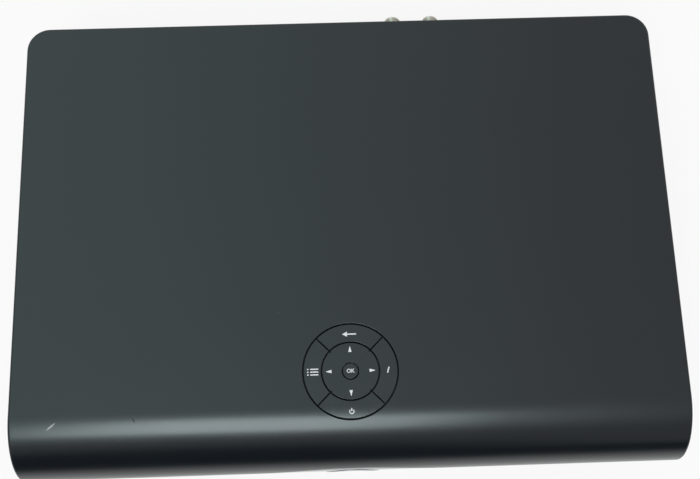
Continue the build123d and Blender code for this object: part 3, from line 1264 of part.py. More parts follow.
# ---------------------------------------------------------------------------------------------
# Nodes
# ---------------------------------------------------------------------------------------------
NODES = {
    "lid": lid,
    "front_fascia": front_fascia,
    "card_flap": card_flap,
    "flap_hinge_pin": flap_hinge_pin,
    "base_tray": base_tray,
    "rear_panel": rear_panel,
    "lid_screws": lid_screws,
    "board_screws": board_screws,
    "feet": feet,
    "status_lens": status_lens,
    "light_ring": light_ring,
    "indicator_lights": indicator_lights,
    "infrared_window": infrared_window,
    "front_board": front_board,
    "front_leds": front_leds,
    "card_reader": card_reader,
    "button_bezel": button_bezel,
    "rocker_ring": rocker_ring,
    "rocker_hoop": rocker_hoop,
    "rocker_plungers": lambda: group([plunger(x, y) for x, y in rocker_spots()]),
    "select_button": select_key,
    "select_plunger": lambda: plunger(0, KEY_Y),
    "switch_board": switch_board,
    "switch_bodies": switch_bodies,
    "main_board": main_board,
    "main_chips": main_chips,
    "main_heat_sink": main_heat_sink,
    "power_board": power_board,
    "power_transformer": power_transformer,
    "power_capacitors": power_capacitors,
    "hard_disk": hard_disk,
    "disk_bracket": disk_bracket,
    "disk_grommets": disk_grommets,
    "fan_frame": fan_frame,
    "fan_rotor": fan_rotor,
    "button_ribbon": button_ribbon,
    "disk_lead": disk_lead,
    "mains_lead": mains_lead,
    "power_lead": power_lead,
    "tuner_can": tuner_can,
    "dish_connectors": dish_connectors,
    "aerial_sockets": aerial_sockets,
    "scart_sockets": scart_sockets,
    "audio_sockets": audio_sockets,
    "optical_socket": optical_socket,
    "hdmi_socket": hdmi_socket,
    "usb_socket": usb_socket,
    "network_socket": network_socket,
    "phone_socket": phone_socket,
    "mains_inlet": mains_inlet,
    "mains_inlet_pins": mains_inlet_pins,
}


def main():
    """Write one STEP file for every node."""
    os.makedirs("parts", exist_ok=True)
    for name, angle in KEY_ANGLES.items():
        export_step(outer_key(angle), f"parts/{name}_button.step")
        export_step(outer_plunger(angle), f"parts/{name}_plunger.step")
    for name, make in NODES.items():
        export_step(make(), f"parts/{name}.step")


if __name__ == "__main__":
    main()
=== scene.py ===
"""Visual model of a satellite television receiver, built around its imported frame.

Sizes in the classes are millimetres in the frame of the CAD: +Z up, front towards -Y, origin at the
middle of the base. Blender's metres are reached through `mm`.
"""

import json
import logging
import math
from contextlib import contextmanager
from dataclasses import dataclass
from enum import Enum
from typing import Any, Callable, Iterator, Sequence

import bmesh
import bpy
from mathutils import Euler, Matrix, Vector

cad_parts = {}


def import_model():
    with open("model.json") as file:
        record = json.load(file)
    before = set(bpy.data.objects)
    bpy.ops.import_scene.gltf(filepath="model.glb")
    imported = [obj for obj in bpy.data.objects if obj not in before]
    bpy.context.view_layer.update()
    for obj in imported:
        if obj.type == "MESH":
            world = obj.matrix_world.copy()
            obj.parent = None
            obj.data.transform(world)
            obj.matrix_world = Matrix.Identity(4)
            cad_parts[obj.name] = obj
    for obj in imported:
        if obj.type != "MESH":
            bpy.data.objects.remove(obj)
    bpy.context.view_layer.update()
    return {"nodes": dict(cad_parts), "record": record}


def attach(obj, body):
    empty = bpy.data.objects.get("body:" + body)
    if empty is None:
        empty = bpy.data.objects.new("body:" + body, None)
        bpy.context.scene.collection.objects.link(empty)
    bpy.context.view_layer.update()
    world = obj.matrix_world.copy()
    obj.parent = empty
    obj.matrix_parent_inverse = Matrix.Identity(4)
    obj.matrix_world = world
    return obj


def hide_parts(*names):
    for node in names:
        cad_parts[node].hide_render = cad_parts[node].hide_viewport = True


LOG = logging.getLogger("receiver")
Item = bpy.types.Object
Socket = bpy.types.NodeSocket
Test = Callable[[Any], bool]
Span = tuple[float, float]
Point = tuple[float, float, float]
HAIR = 1e-6  # metres, for matching places and merging doubles
CREASE = math.radians(30)  # edges that turn more stay crisp
EASED = math.radians(35)  # edges that turn more are eased
CORNER = math.radians(50)  # edges that turn more are corners of a cap or lens


# Small tools of the workbench
def mm(*values: float) -> Any:
    """Millimetres to metres: one number, or a tuple of them."""
    metres = tuple(value * 0.001 for value in values)
    return metres if len(metres) > 1 else metres[0]


def about(middle: float, half: float) -> Span:
    """Span that reaches equally far to both sides of its middle."""
    return middle - half, middle + half


def polar(radius: float, degrees: float, y: float) -> tuple[float, float]:
    """Point at a radius and direction from (0, y)."""
    turn = math.radians(degrees)
    return radius * math.cos(turn), y + radius * math.sin(turn)


def pick(*objects: Item) -> None:
    """Select some objects.

    Args:
        objects: The only ones that are selected; the first becomes the active one.
    """
    bpy.ops.object.select_all(action="DESELECT")
    for item in objects:
        item.select_set(True)
    bpy.context.view_layer.objects.active = objects[0]


@contextmanager
def editing(item: Item, kind: str = "EDGE") -> Iterator[None]:
    """Edit mode on one object with nothing selected.

    Args:
        item: The mesh object.
        kind: VERT, EDGE or FACE.
    """
    pick(item)
    bpy.ops.object.mode_set(mode="EDIT")
    bpy.ops.mesh.select_mode(type=kind)
    bpy.ops.mesh.select_all(action="DESELECT")
    yield
    bpy.ops.object.mode_set(mode="OBJECT")


def choose(kind: str, test: Test) -> None:
    """Select the parts of the edited mesh that pass a test.

    Args:
        kind: verts, edges or faces.
        test: Says whether an element is wanted.
    """
    mesh = bpy.context.object.data
    shape = bmesh.from_edit_mesh(mesh)
    for item in (*shape.verts, *shape.edges, *shape.faces):
        item.select = False
    for item in [item for item in getattr(shape, kind) if test(item)]:
        item.select_set(True)
    bmesh.update_edit_mesh(mesh)


def choose_all() -> None:
    """Select the whole edited mesh."""
    bpy.ops.mesh.select_all(action="SELECT")


def round_off(width: float, segments: int, test: Test) -> None:
    """Bevel the edges of the edited mesh that pass a test, by a width in millimetres."""
    choose("edges", test)
    bpy.ops.mesh.bevel(offset=mm(width), segments=segments, affect="EDGES", clamp_overlap=False)


def weld() -> None:
    """Merge the doubles of the edited mesh and turn its faces outwards."""
    choose_all()
    bpy.ops.mesh.remove_doubles(threshold=HAIR)
    bpy.ops.mesh.normals_make_consistent(inside=False)


def slice_across(normal: Point, *places: float) -> None:
    """Cut new edges into the edited mesh.

    Args:
        normal: Unit vector of the axis along which the cuts are placed.
        places: Millimetres along it.
    """
    for place in places:
        choose_all()
        bpy.ops.mesh.bisect(plane_co=mm(*(place * part for part in normal)), plane_no=normal)


def at(value: float, wanted_mm: float, slack_mm: float = 0.01) -> bool:
    """Whether a coordinate in metres lies at a place in millimetres."""
    return abs(value - wanted_mm * 0.001) < slack_mm * 0.001


def lies_at(edge: bmesh.types.BMEdge, axis: int, place: float) -> bool:
    """Whether both ends of an edge have the same place on an axis."""
    return all(at(v.co[axis], place) for v in edge.verts)


def runs(edge: bmesh.types.BMEdge, axis: int) -> bool:
    """Whether an edge runs more than 10 mm along an axis."""
    return abs(edge.verts[0].co[axis] - edge.verts[1].co[axis]) > mm(10)


def is_corner(edge: bmesh.types.BMEdge) -> bool:
    """Whether two faces meet sharply at an edge."""
    return len(edge.link_faces) == 2 and edge.calc_face_angle(0) > CORNER


def made(name: str, primitive: Callable[..., Any], **options: Any) -> Item:
    """Make a new object.

    Args:
        name: Object name.
        primitive: Operator that adds it.
        options: What the operator is told.

    Returns:
        The object.
    """
    bpy.ops.object.select_all(action="DESELECT")
    primitive(**options)
    bpy.context.object.name = name
    return bpy.context.object


def settle(item: Item) -> Item:
    """Put an object's place, turn and size into its mesh.

    Args:
        item: The object.

    Returns:
        The same object.
    """
    pick(item)
    bpy.ops.object.transform_apply(location=True, rotation=True, scale=True)
    return item


def cuboid(name: str, x: Span, y: Span, z: Span, turn: float = 0.0) -> Item:
    """Box between three (low, high) spans.

    Args:
        name: Object name.
        x: Span across, in millimetres.
        y: Span from front to back.
        z: Span upwards.
        turn: Turn about its own upright axis, in radians.

    Returns:
        The box.
    """
    middle = mm(*(sum(span) / 2 for span in (x, y, z)))
    size = mm(*(span[1] - span[0] for span in (x, y, z)))
    return settle(made(name, bpy.ops.mesh.primitive_cube_add, size=1, location=middle,
                       rotation=(0, 0, turn), scale=size))


def rod(name: str, radius: float, start: Point, end: Point, sides: int = 48) -> Item:
    """Round or many-sided bar between two points.

    Args:
        name: Object name.
        radius: Radius in millimetres.
        start: First end.
        end: Second end.
        sides: Number of flats round it.

    Returns:
        The bar, with its place in its mesh.
    """
    along, middle = Vector(end) - Vector(start), (Vector(start) + Vector(end)) / 2
    return settle(made(
        name, bpy.ops.mesh.primitive_cone_add, vertices=sides, radius1=mm(radius), radius2=mm(radius),
        depth=mm(along.length), location=mm(*middle), rotation=along.to_track_quat("Z", "Y").to_euler(),
    ))


def column(name: str, radius: float, place: tuple[float, float], z: Span, sides: int = 48) -> Item:
    """Upright bar at a place (x, y)."""
    return rod(name, radius, (*place, z[0]), (*place, z[1]), sides)


def shaft(name: str, radius: float, place: tuple[float, float], y: Span, sides: int = 48) -> Item:
    """Bar from front to back at a place (x, z)."""
    return rod(name, radius, (place[0], y[0], place[1]), (place[0], y[1], place[1]), sides)


def outline(name: str, corners: Sequence[Sequence[float]], z: float = 0.0) -> Item:
    """Flat face, on a circle primitive whose corners are then placed.

    Args:
        name: Object name.
        corners: Places (x, y) in millimetres.
        z: Its height.

    Returns:
        The face.
    """
    shape = made(name, bpy.ops.mesh.primitive_circle_add, vertices=len(corners), radius=0.001,
                 fill_type="NGON")
    for vertex, (x, y) in zip(shape.data.vertices, corners):
        vertex.co = Vector(mm(x, y, z))
    return shape


def modify(item: Item, kind: str, **settings: Any) -> Item:
    """Put one modifier on a piece and apply it.

    Args:
        item: The piece.
        kind: Modifier type.
        settings: Properties of the modifier.

    Returns:
        The piece.
    """
    work = item.modifiers.new(kind.lower(), kind)
    for name, value in settings.items():
        setattr(work, name, value)
    pick(item)
    bpy.ops.object.modifier_apply(modifier=work.name)
    return item


class Cut(Enum):
    """What a tool does to a piece."""

    TAKE_AWAY = "DIFFERENCE"
    ADD = "UNION"
    KEEP_COMMON = "INTERSECT"


def carve(item: Item, tool: Item, how: Cut = Cut.TAKE_AWAY, keep_tool: bool = False) -> Item:
    """Combine a piece with a tool and drop the tool.

    Args:
        item: The piece.
        tool: The closed form that works on it.
        how: Take away, add or keep what they share.
        keep_tool: Leave the tool for another use.

    Returns:
        The piece.
    """
    modify(item, "BOOLEAN", operation=how.value, solver="EXACT", object=tool)
    if not keep_tool:
        bpy.data.objects.remove(tool, do_unlink=True)
    return item


def join(first: Item, *others: Item) -> Item:
    """Make several meshes one object.

    Args:
        first: The one whose name stays.
        others: The ones that become part of it.

    Returns:
        The first object.
    """
    pick(first, *others)
    bpy.ops.object.join()
    return first


def ease(item: Item, width: float) -> Item:
    """Round a piece's sharp edges, by a width in millimetres."""
    return modify(item, "BEVEL", width=mm(width), segments=2, limit_method="ANGLE", angle_limit=EASED,
                  harden_normals=False)


def smooth(item: Item) -> Item:
    """Shade a piece smooth, with its sharp edges kept crisp and its large faces flat.

    Args:
        item: The piece.

    Returns:
        The piece.
    """
    pick(item)
    bpy.ops.object.shade_smooth_by_angle(angle=CREASE)
    return modify(item, "WEIGHTED_NORMAL", mode="FACE_AREA", weight=60, keep_sharp=True)


def merged_copy(node: str, name: str, width: float = 0.0) -> Item:
    """Copy of a CAD node with its triangles merged, and its edges eased.

    Args:
        node: CAD node.
        name: Name of the new piece.
        width: Bevel width in millimetres, or 0 for none.

    Returns:
        The new piece.
    """
    source = bpy.data.objects[node]
    copy = source.copy()
    copy.data = source.data.copy()
    copy.parent = None
    copy.name = name
    for key in list(copy.keys()):
        if key.startswith("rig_"):
            del copy[key]
    bpy.context.scene.collection.objects.link(copy)
    with editing(copy, "VERT"):
        choose_all()
        bpy.ops.mesh.remove_doubles(threshold=HAIR)
        bpy.ops.mesh.tris_convert_to_quads(face_threshold=math.radians(1), shape_threshold=math.radians(60))
        choose_all()
        bpy.ops.mesh.dissolve_limited(angle_limit=math.radians(0.5))
    if width:
        ease(copy, width)
    return smooth(copy)


@dataclass(frozen=True)
class Facet:
    """One face of a mesh: its middle in millimetres, and its normal."""

    middle: Vector
    normal: Vector


def paint(item: Item, finish: "Finish", test: Callable[[Facet], bool]) -> Item:
    """Give some faces of a piece another finish.

    Args:
        item: The piece, which already has its main finish.
        finish: The other finish.
        test: Says whether a face is wanted.

    Returns:
        The piece.
    """
    item.data.materials.append(finish.material())
    for face in item.data.polygons:
        if test(Facet(face.center * 1000, face.normal)):
            face.material_index = len(item.data.materials) - 1
    return item


def inlay(item: Item, finish: "Finish", *parts: Item) -> Item:
    """Make small parts of another finish part of a piece.

    Args:
        item: The piece, which already has its main finish.
        finish: The other finish.
        parts: The small parts.

    Returns:
        The piece.
    """
    for part in parts:
        part.data.materials.clear()
        part.data.materials.append(finish.material())
    return join(item, *parts)


# Finishes
def linear(colour: str) -> tuple[float, float, float, float]:
    """Colour for a shader.

    Args:
        colour: sRGB in hex.

    Returns:
        Linear red, green, blue and a full alpha.
    """
    parts = [int(colour[index:index + 2], 16) / 255 for index in (1, 3, 5)]
    curve = [part / 12.92 if part <= 0.04045 else ((part + 0.055) / 1.055) ** 2.4 for part in parts]
    return (*curve, 1.0)


class Nodes:
    """Node tree of a material or world, put together step by step."""

    def __init__(self, owner: bpy.types.Material | bpy.types.World) -> None:
        """Start the owner's tree empty.

        Args:
            owner: The material or world.
        """
        owner.use_nodes = True
        self.tree = owner.node_tree
        self.tree.nodes.clear()

    def add(self, kind: str, inputs: dict[Any, Any] | None = None, **settings: Any) -> Any:
        """Add a node with its settings, values and links.

        Args:
            kind: Node type, without the ShaderNode before it.
            inputs: Socket name or index to a value, or to another node's output socket.
            settings: Properties of the node.

        Returns:
            The node's output sockets.
        """
        node = self.tree.nodes.new(f"ShaderNode{kind}")
        for name, value in settings.items():
            setattr(node, name, value)
        for name, value in (inputs or {}).items():
            if isinstance(value, Socket):
                self.tree.links.new(value, node.inputs[name])
            else:
                node.inputs[name].default_value = value
        return node.outputs

    def spread(self, value: Socket, low: Any, high: Any, start: float = 0.3, stop: float = 0.7,
               curve: str = "LINEAR") -> Socket:
        """Map a range of values onto another range.

        Args:
            value: What is mapped.
            low: Outcome at the start.
            high: Outcome at the stop.
            start: Value where the range starts.
            stop: Value where it stops.
            curve: LINEAR, or SMOOTHSTEP for soft ends.

        Returns:
            The outcome.
        """
        return self.add("MapRange", {
            "Value": value, "From Min": start, "From Max": stop, "To Min": low, "To Max": high,
        }, interpolation_type=curve)["Result"]

    def mix(self, factor: Socket, first: Any, second: Any, kind: str = "RGBA") -> Socket:
        """Mix of two colours, or of two numbers where the kind is FLOAT."""
        return self.add("Mix", {"Factor": factor, "A": first, "B": second}, data_type=kind)["Result"]

    def maths(self, kind: str, *values: Any) -> Socket:
        """Outcome of a sum with one or two numbers."""
        return self.add("Math", dict(enumerate(values)), operation=kind)["Value"]

    def vectors(self, kind: str, *values: Any) -> Any:
        """Outcomes of a sum with one or two vectors."""
        return self.add("VectorMath", dict(enumerate(values)), operation=kind)

    def shade(self, colour: str, factor: Socket) -> Socket:
        """A colour, made darker or lighter by a factor."""
        return self.add("VectorMath", {0: linear(colour)[:3], "Scale": factor}, operation="SCALE")["Vector"]

    def light(self, kind: str, colour: Any, strength: Any = 1.0) -> Socket:
        """Light of a colour; the kind is Emission or Background."""
        return self.add(kind, {"Color": colour, "Strength": strength})[0]

    def blend(self, share: Socket, first: Socket, second: Socket) -> Socket:
        """The first shader, with a share of the second."""
        return self.add("MixShader", {0: share, 1: first, 2: second})[0]


@dataclass(frozen=True)
class Finish:
    """A surface: colour, gloss and the fine marks that its making and use leave.

    `mottle` is how far the colour drifts, `wear` how far the roughness does, and `grain` the height
    of the fine texture, each with the size of its marks. Sizes are millimetres.
    """

    name: str
    colour: str
    roughness: float
    metallic: float = 0.0
    ior: float = 1.5
    coat: float = 0.0
    mottle: Span = (0.04, 40.0)
    wear: Span = (0.04, 18.0)
    grain: Span = (0.0, 0.4)
    stretch: Point = (1.0, 1.0, 1.0)
    speck: str = ""
    speck_mm: float = 9.0
    speck_rim: Span = (0.007, 0.017)
    see_through: float = 0.0

    def place(self, nodes: Nodes) -> Socket:
        """Object coordinates in millimetres, stretched along the grain."""
        scale = tuple(1000.0 / part for part in self.stretch)
        return nodes.add("Mapping", {"Vector": nodes.add("TexCoord")["Object"], "Scale": scale})["Vector"]

    def noise(self, nodes: Nodes, size: float, detail: float = 3.0) -> Socket:
        """Noise whose lumps are about a size in millimetres."""
        inputs = {"Vector": self.place(nodes), "Scale": 1.0 / size, "Detail": detail, "Roughness": 0.55}
        return nodes.add("TexNoise", inputs)["Fac"]

    def cells(self, nodes: Nodes, size: float) -> Any:
        """Random cells of about a size in millimetres."""
        return nodes.add("TexVoronoi", {"Vector": self.place(nodes), "Scale": 1.0 / size})

    def tint(self, nodes: Nodes) -> Socket:
        """Colour with its slow drift and its specks.

        Args:
            nodes: Tree of the material.

        Returns:
            The colour's socket.
        """
        amount, size = self.mottle
        drift = nodes.spread(self.noise(nodes, size), 1 - amount, 1 + amount)
        plain = nodes.shade(self.colour, drift)
        if not self.speck:
            return plain
        cells = self.cells(nodes, self.speck_mm)
        spot = nodes.spread(cells["Distance"], 1.0, 0.0, *self.speck_rim)
        pale = nodes.add("SeparateColor", {"Color": cells["Color"]})["Red"]
        return nodes.mix(nodes.maths("MULTIPLY", spot, pale), plain, linear(self.speck))

    def gloss(self, nodes: Nodes) -> Socket:
        """Roughness with its drift from handling."""
        low, high = about(self.roughness, self.wear[0])
        return nodes.spread(self.noise(nodes, self.wear[1]), max(0.02, low), min(1.0, high))

    def material(self) -> bpy.types.Material:
        """The finish as a material, made once.

        Returns:
            The material of this name.
        """
        known = bpy.data.materials.get(self.name)
        if known:
            return known
        new = bpy.data.materials.new(self.name)
        nodes = Nodes(new)
        inputs: dict[Any, Any] = {
            "Base Color": self.tint(nodes), "Roughness": self.gloss(nodes), "Metallic": self.metallic,
            "Coat Weight": self.coat, "Coat Roughness": 0.05, "Transmission Weight": self.see_through,
        }
        if not self.metallic:
            inputs["IOR"] = self.ior
        depth, size = self.grain
        if depth:
            bump = {"Height": self.noise(nodes, size, 2.0), "Distance": mm(depth), "Strength": 1.0}
            inputs["Normal"] = nodes.add("Bump", bump)["Normal"]
        nodes.add("OutputMaterial", {"Surface": nodes.add("BsdfPrincipled", inputs)["BSDF"]})
        return new


@dataclass(frozen=True)
class Stroke:
    """Short tapered mark, seen from above: where its middle lies, its size, turn and colour."""

    x: float
    y: float
    length: float
    width: float
    degrees: float
    colour: str


@dataclass(frozen=True)
class CaseFinish(Finish):
    """Case plastic with the few scuffs that one case has gathered."""

    scuffs: tuple[Stroke, ...] = ()
    scuffed: float = 0.8

    def mask(self, nodes: Nodes, scuff: Stroke) -> Socket:
        """Where a scuff is.

        Args:
            nodes: Tree of the material.
            scuff: The scuff.

        Returns:
            1 on the scuff, fading to 0 at its tapered outline.
        """
        near = nodes.add("Mapping", {
            "Vector": self.place(nodes), "Location": (scuff.x, scuff.y, 0),
            "Rotation": (0, 0, math.radians(scuff.degrees)), "Scale": (scuff.length, scuff.width, 1000),
        }, vector_type="TEXTURE")
        return nodes.spread(nodes.vectors("LENGTH", near["Vector"])["Value"], 1.0, 0.0, 0.2, 0.5)

    def tint(self, nodes: Nodes) -> Socket:
        """Colour of the plastic with the scuffs over it.

        Args:
            nodes: Tree of the material.

        Returns:
            The colour's socket.
        """
        shade = super().tint(nodes)
        for scuff in self.scuffs:
            shade = nodes.mix(self.mask(nodes, scuff), shade, linear(scuff.colour))
        return shade

    def gloss(self, nodes: Nodes) -> Socket:
        """Roughness of the plastic, raised on the scuffs.

        Args:
            nodes: Tree of the material.

        Returns:
            The roughness's socket.
        """
        rough = super().gloss(nodes)
        for scuff in self.scuffs:
            rough = nodes.mix(self.mask(nodes, scuff), rough, self.scuffed, "FLOAT")
        return rough


@dataclass(frozen=True)
class LensFinish(Finish):
    """Clear lens in front of a ring of lights, which shows through as a pale ring."""

    ring: Span = (11.9, 13.8)
    ring_z: float = 31.8
    ring_blur: float = 0.15
    pale: str = "#e2e8eb"

    def tint(self, nodes: Nodes) -> Socket:
        """Colour of the lens with the pale ring in it.

        Args:
            nodes: Tree of the material.

        Returns:
            The colour's socket.
        """
        inner, outer = self.ring
        flat = nodes.vectors("MULTIPLY", self.place(nodes), (1, 0, 1))["Vector"]
        reach = nodes.vectors("DISTANCE", flat, (0, 0, self.ring_z))["Value"]
        away = nodes.maths("ABSOLUTE", nodes.maths("SUBTRACT", reach, (inner + outer) / 2))
        shown = nodes.spread(away, 1.0, 0.0, *about((outer - inner) / 2, self.ring_blur))
        return nodes.mix(shown, super().tint(nodes), linear(self.pale))


@dataclass(frozen=True)
class BoardFinish(Finish):
    """Solder-masked circuit board: copper tracks show as paler green lines."""

    track: str = "#2f7a45"
    track_mm: float = 1.6

    def tint(self, nodes: Nodes) -> Socket:
        """Green mask with straight tracks under it.

        Args:
            nodes: Tree of the material.

        Returns:
            The colour's socket.
        """
        return nodes.add("TexBrick", {
            "Vector": self.place(nodes), "Color1": linear(self.colour), "Color2": linear(self.colour),
            "Mortar": linear(self.track), "Scale": 1.0 / self.track_mm, "Mortar Size": 0.09,
            "Brick Width": 7.0, "Row Height": 0.8,
        }, offset=0.37, squash=0.6, squash_frequency=3)["Color"]


@dataclass(frozen=True)
class SpangleFinish(Finish):
    """Zinc-plated sheet: small crystals, each with its own sheen."""

    crystal_mm: float = 3.2
    sheen: Span = (0.95, 1.03)

    def tint(self, nodes: Nodes) -> Socket:
        """Grey whose brightness steps from crystal to crystal."""
        step = nodes.add("SeparateColor", {"Color": self.cells(nodes, self.crystal_mm)["Color"]})["Green"]
        return nodes.shade(self.colour, nodes.spread(step, *self.sheen, 0.0, 1.0))


# Pad-printed white ink on the keys.
PRINT_WHITE = Finish("printed_white_ink", "#e4e8ea", 0.5, mottle=(0.03, 1), wear=(0.05, 1))
GOLD_CONTACT = Finish("gold_plated_contact", "#d9ae5f", 0.24, 1.0, mottle=(0.05, 1), wear=(0.06, 1))
# Coloured polypropylene that tells the two sound outlets apart, the lower one first.
OUTLET_COLOURS = (
    Finish("moulded_polypropylene_red", "#9c1f1c", 0.42, mottle=(0.04, 2), wear=(0.05, 2)),
    Finish("moulded_polypropylene_white", "#d9d8d2", 0.42, mottle=(0.03, 2), wear=(0.05, 2)),
)

# The finish of each material slot of the record.
FINISHES = {
    # Injection-moulded ABS with a spark-eroded satin texture: matt to the eye, with a soft wide sheen
    # on the roll, faint smears from hands and a few specks of dust.
    "case_satin": CaseFinish(
        "moulded_abs_satin", "#11171c", 0.25, mottle=(0.035, 70), wear=(0.018, 45), grain=(0.004, 0.35),
        speck="#59646a", speck_mm=24, scuffs=(
            Stroke(-159.0, -106.9, 7.0, 1.2, 38.0, "#a3abaa"),
            Stroke(-115.6, -104.4, 4.2, 0.9, -66.0, "#0c1012"),
        )),
    # The keys come from another tool with a finer texture, so they look a shade lighter.
    "key_satin": Finish(
        "moulded_abs_key", "#151b1f", 0.27, mottle=(0.04, 12), wear=(0.03, 8), grain=(0.003, 0.3)),
    # Polished PMMA-faced ABS: mirror gloss with the slightest waviness of a moulding.
    "fascia_gloss": Finish(
        "polished_black_pmma", "#0b0c0e", 0.06, coat=1.0, ior=1.55, mottle=(0.03, 40), wear=(0.02, 22),
        grain=(0.002, 9)),
    "lens_clear": LensFinish(
        "clear_polycarbonate", "#868d92", 0.05, ior=1.58, coat=1.0, mottle=(0.03, 6), wear=(0.04, 5),
        see_through=0.25),
    "light_guide": Finish(
        "frosted_acrylic", "#e6ebee", 0.45, ior=1.49, mottle=(0.02, 40), wear=(0.06, 4), see_through=0.4),
    "window_smoked": Finish(
        "smoked_red_acrylic", "#250a0d", 0.07, ior=1.49, coat=0.6, mottle=(0.03, 40), wear=(0.03, 6),
        see_through=0.2),
    "sheet_zinc": SpangleFinish(
        "zinc_plated_sheet", "#b4b7b8", 0.42, 1.0, wear=(0.08, 6), grain=(0.006, 1.1)),
    "pin_steel": Finish(
        "drawn_steel_wire", "#a6a8aa", 0.3, 1.0, mottle=(0.05, 5), wear=(0.08, 2), stretch=(20, 1, 1)),
    "screw_black": Finish(
        "blackened_steel", "#26272a", 0.42, 1.0, mottle=(0.12, 2), wear=(0.1, 1.5), grain=(0.004, 0.4)),
    "rubber_grey": Finish(
        "moulded_rubber", "#303134", 0.85, mottle=(0.08, 5), wear=(0.06, 3), grain=(0.02, 0.5)),
    "board_green": BoardFinish("solder_mask_green", "#15522f", 0.38, wear=(0.05, 3)),
    "chip_black": Finish(
        "moulded_epoxy", "#1b1c1e", 0.62, mottle=(0.08, 4), wear=(0.05, 2), grain=(0.008, 0.25)),
    "emitter_white": Finish("emitter_package", "#dedcd0", 0.35, mottle=(0.05, 1), wear=(0.05, 1)),
    "inner_plastic": Finish(
        "moulded_abs_plain", "#36373a", 0.5, mottle=(0.05, 15), wear=(0.06, 6), grain=(0.01, 0.6)),
    "socket_black": Finish(
        "moulded_nylon_black", "#17181a", 0.48, mottle=(0.06, 4), wear=(0.05, 3), grain=(0.006, 0.3)),
    "socket_metal": Finish("nickel_plated_shell", "#c4c3bd", 0.26, 1.0, mottle=(0.05, 4), wear=(0.07, 2)),
    "connector_nickel": Finish(
        "nickel_plated_brass", "#cdcac0", 0.2, 1.0, mottle=(0.05, 2), wear=(0.08, 1.2)),
    "tinplate": Finish(
        "bright_tinplate", "#c3c5c6", 0.24, 1.0, mottle=(0.05, 9), wear=(0.08, 4), stretch=(1, 8, 1)),
    "sink_aluminium": Finish(
        "extruded_aluminium", "#c2c4c8", 0.36, 1.0, mottle=(0.04, 3), wear=(0.08, 1.5), stretch=(1, 14, 1)),
    "disk_cast": Finish(
        "cast_aluminium", "#a2a4a8", 0.46, 1.0, mottle=(0.05, 8), wear=(0.08, 3), grain=(0.02, 0.8)),
    "ferrite": Finish(
        "sintered_ferrite", "#26262a", 0.6, mottle=(0.1, 3), wear=(0.06, 2), grain=(0.015, 0.5)),
    "capacitor_sleeve": Finish("shrink_sleeve_blue", "#14182e", 0.32, mottle=(0.05, 5), wear=(0.05, 4)),
    "lead_grey": Finish(
        "flat_lead_grey", "#77797c", 0.5, mottle=(0.12, 1.2), wear=(0.05, 2), stretch=(1, 40, 1)),
    "lead_red": Finish("lead_insulation_red", "#8f1f1a", 0.45, mottle=(0.06, 5), wear=(0.05, 3)),
    "fan_black": Finish(
        "glass_filled_nylon", "#141516", 0.45, mottle=(0.06, 5), wear=(0.06, 3), grain=(0.006, 0.4)),
}


@dataclass(frozen=True)
class Rig:
    """What the record says of each CAD node: the body it belongs to and its material slot."""

    bodies: dict[str, list[str]]
    slots: dict[str, str]

    def body_of(self, node: str) -> str:
        """Body that a node belongs to."""
        return next(body for body, nodes in self.bodies.items() if node in nodes)

    def cover(self, item: Item, node: str) -> None:
        """Give an object the finish of a node's slot and nothing else."""
        item.data.materials.clear()
        item.data.materials.append(FINISHES[self.slots[node]].material())

    def offer(self, item: Item, node: str) -> None:
        """Give a finished piece the body and slot of the node it stands for, and hide that node.

        Args:
            item: The piece.
            node: The CAD node.
        """
        if not item.data.materials:
            self.cover(item, node)
        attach(item, self.body_of(node))
        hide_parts(node)


class Assembly:
    """A group of pieces, each of which stands for one CAD node."""

    def build(self) -> dict[str, Item]:
        """The pieces, each under the node that it stands for."""
        raise NotImplementedError

    def dress(self, rig: Rig) -> dict[str, Item]:
        """Build the pieces and give each its finish, body and slot.

        Args:
            rig: What the record says of the nodes.

        Returns:
            The pieces, each under its node.
        """
        pieces = self.build()
        for node, item in pieces.items():
            rig.offer(item, node)
        return pieces


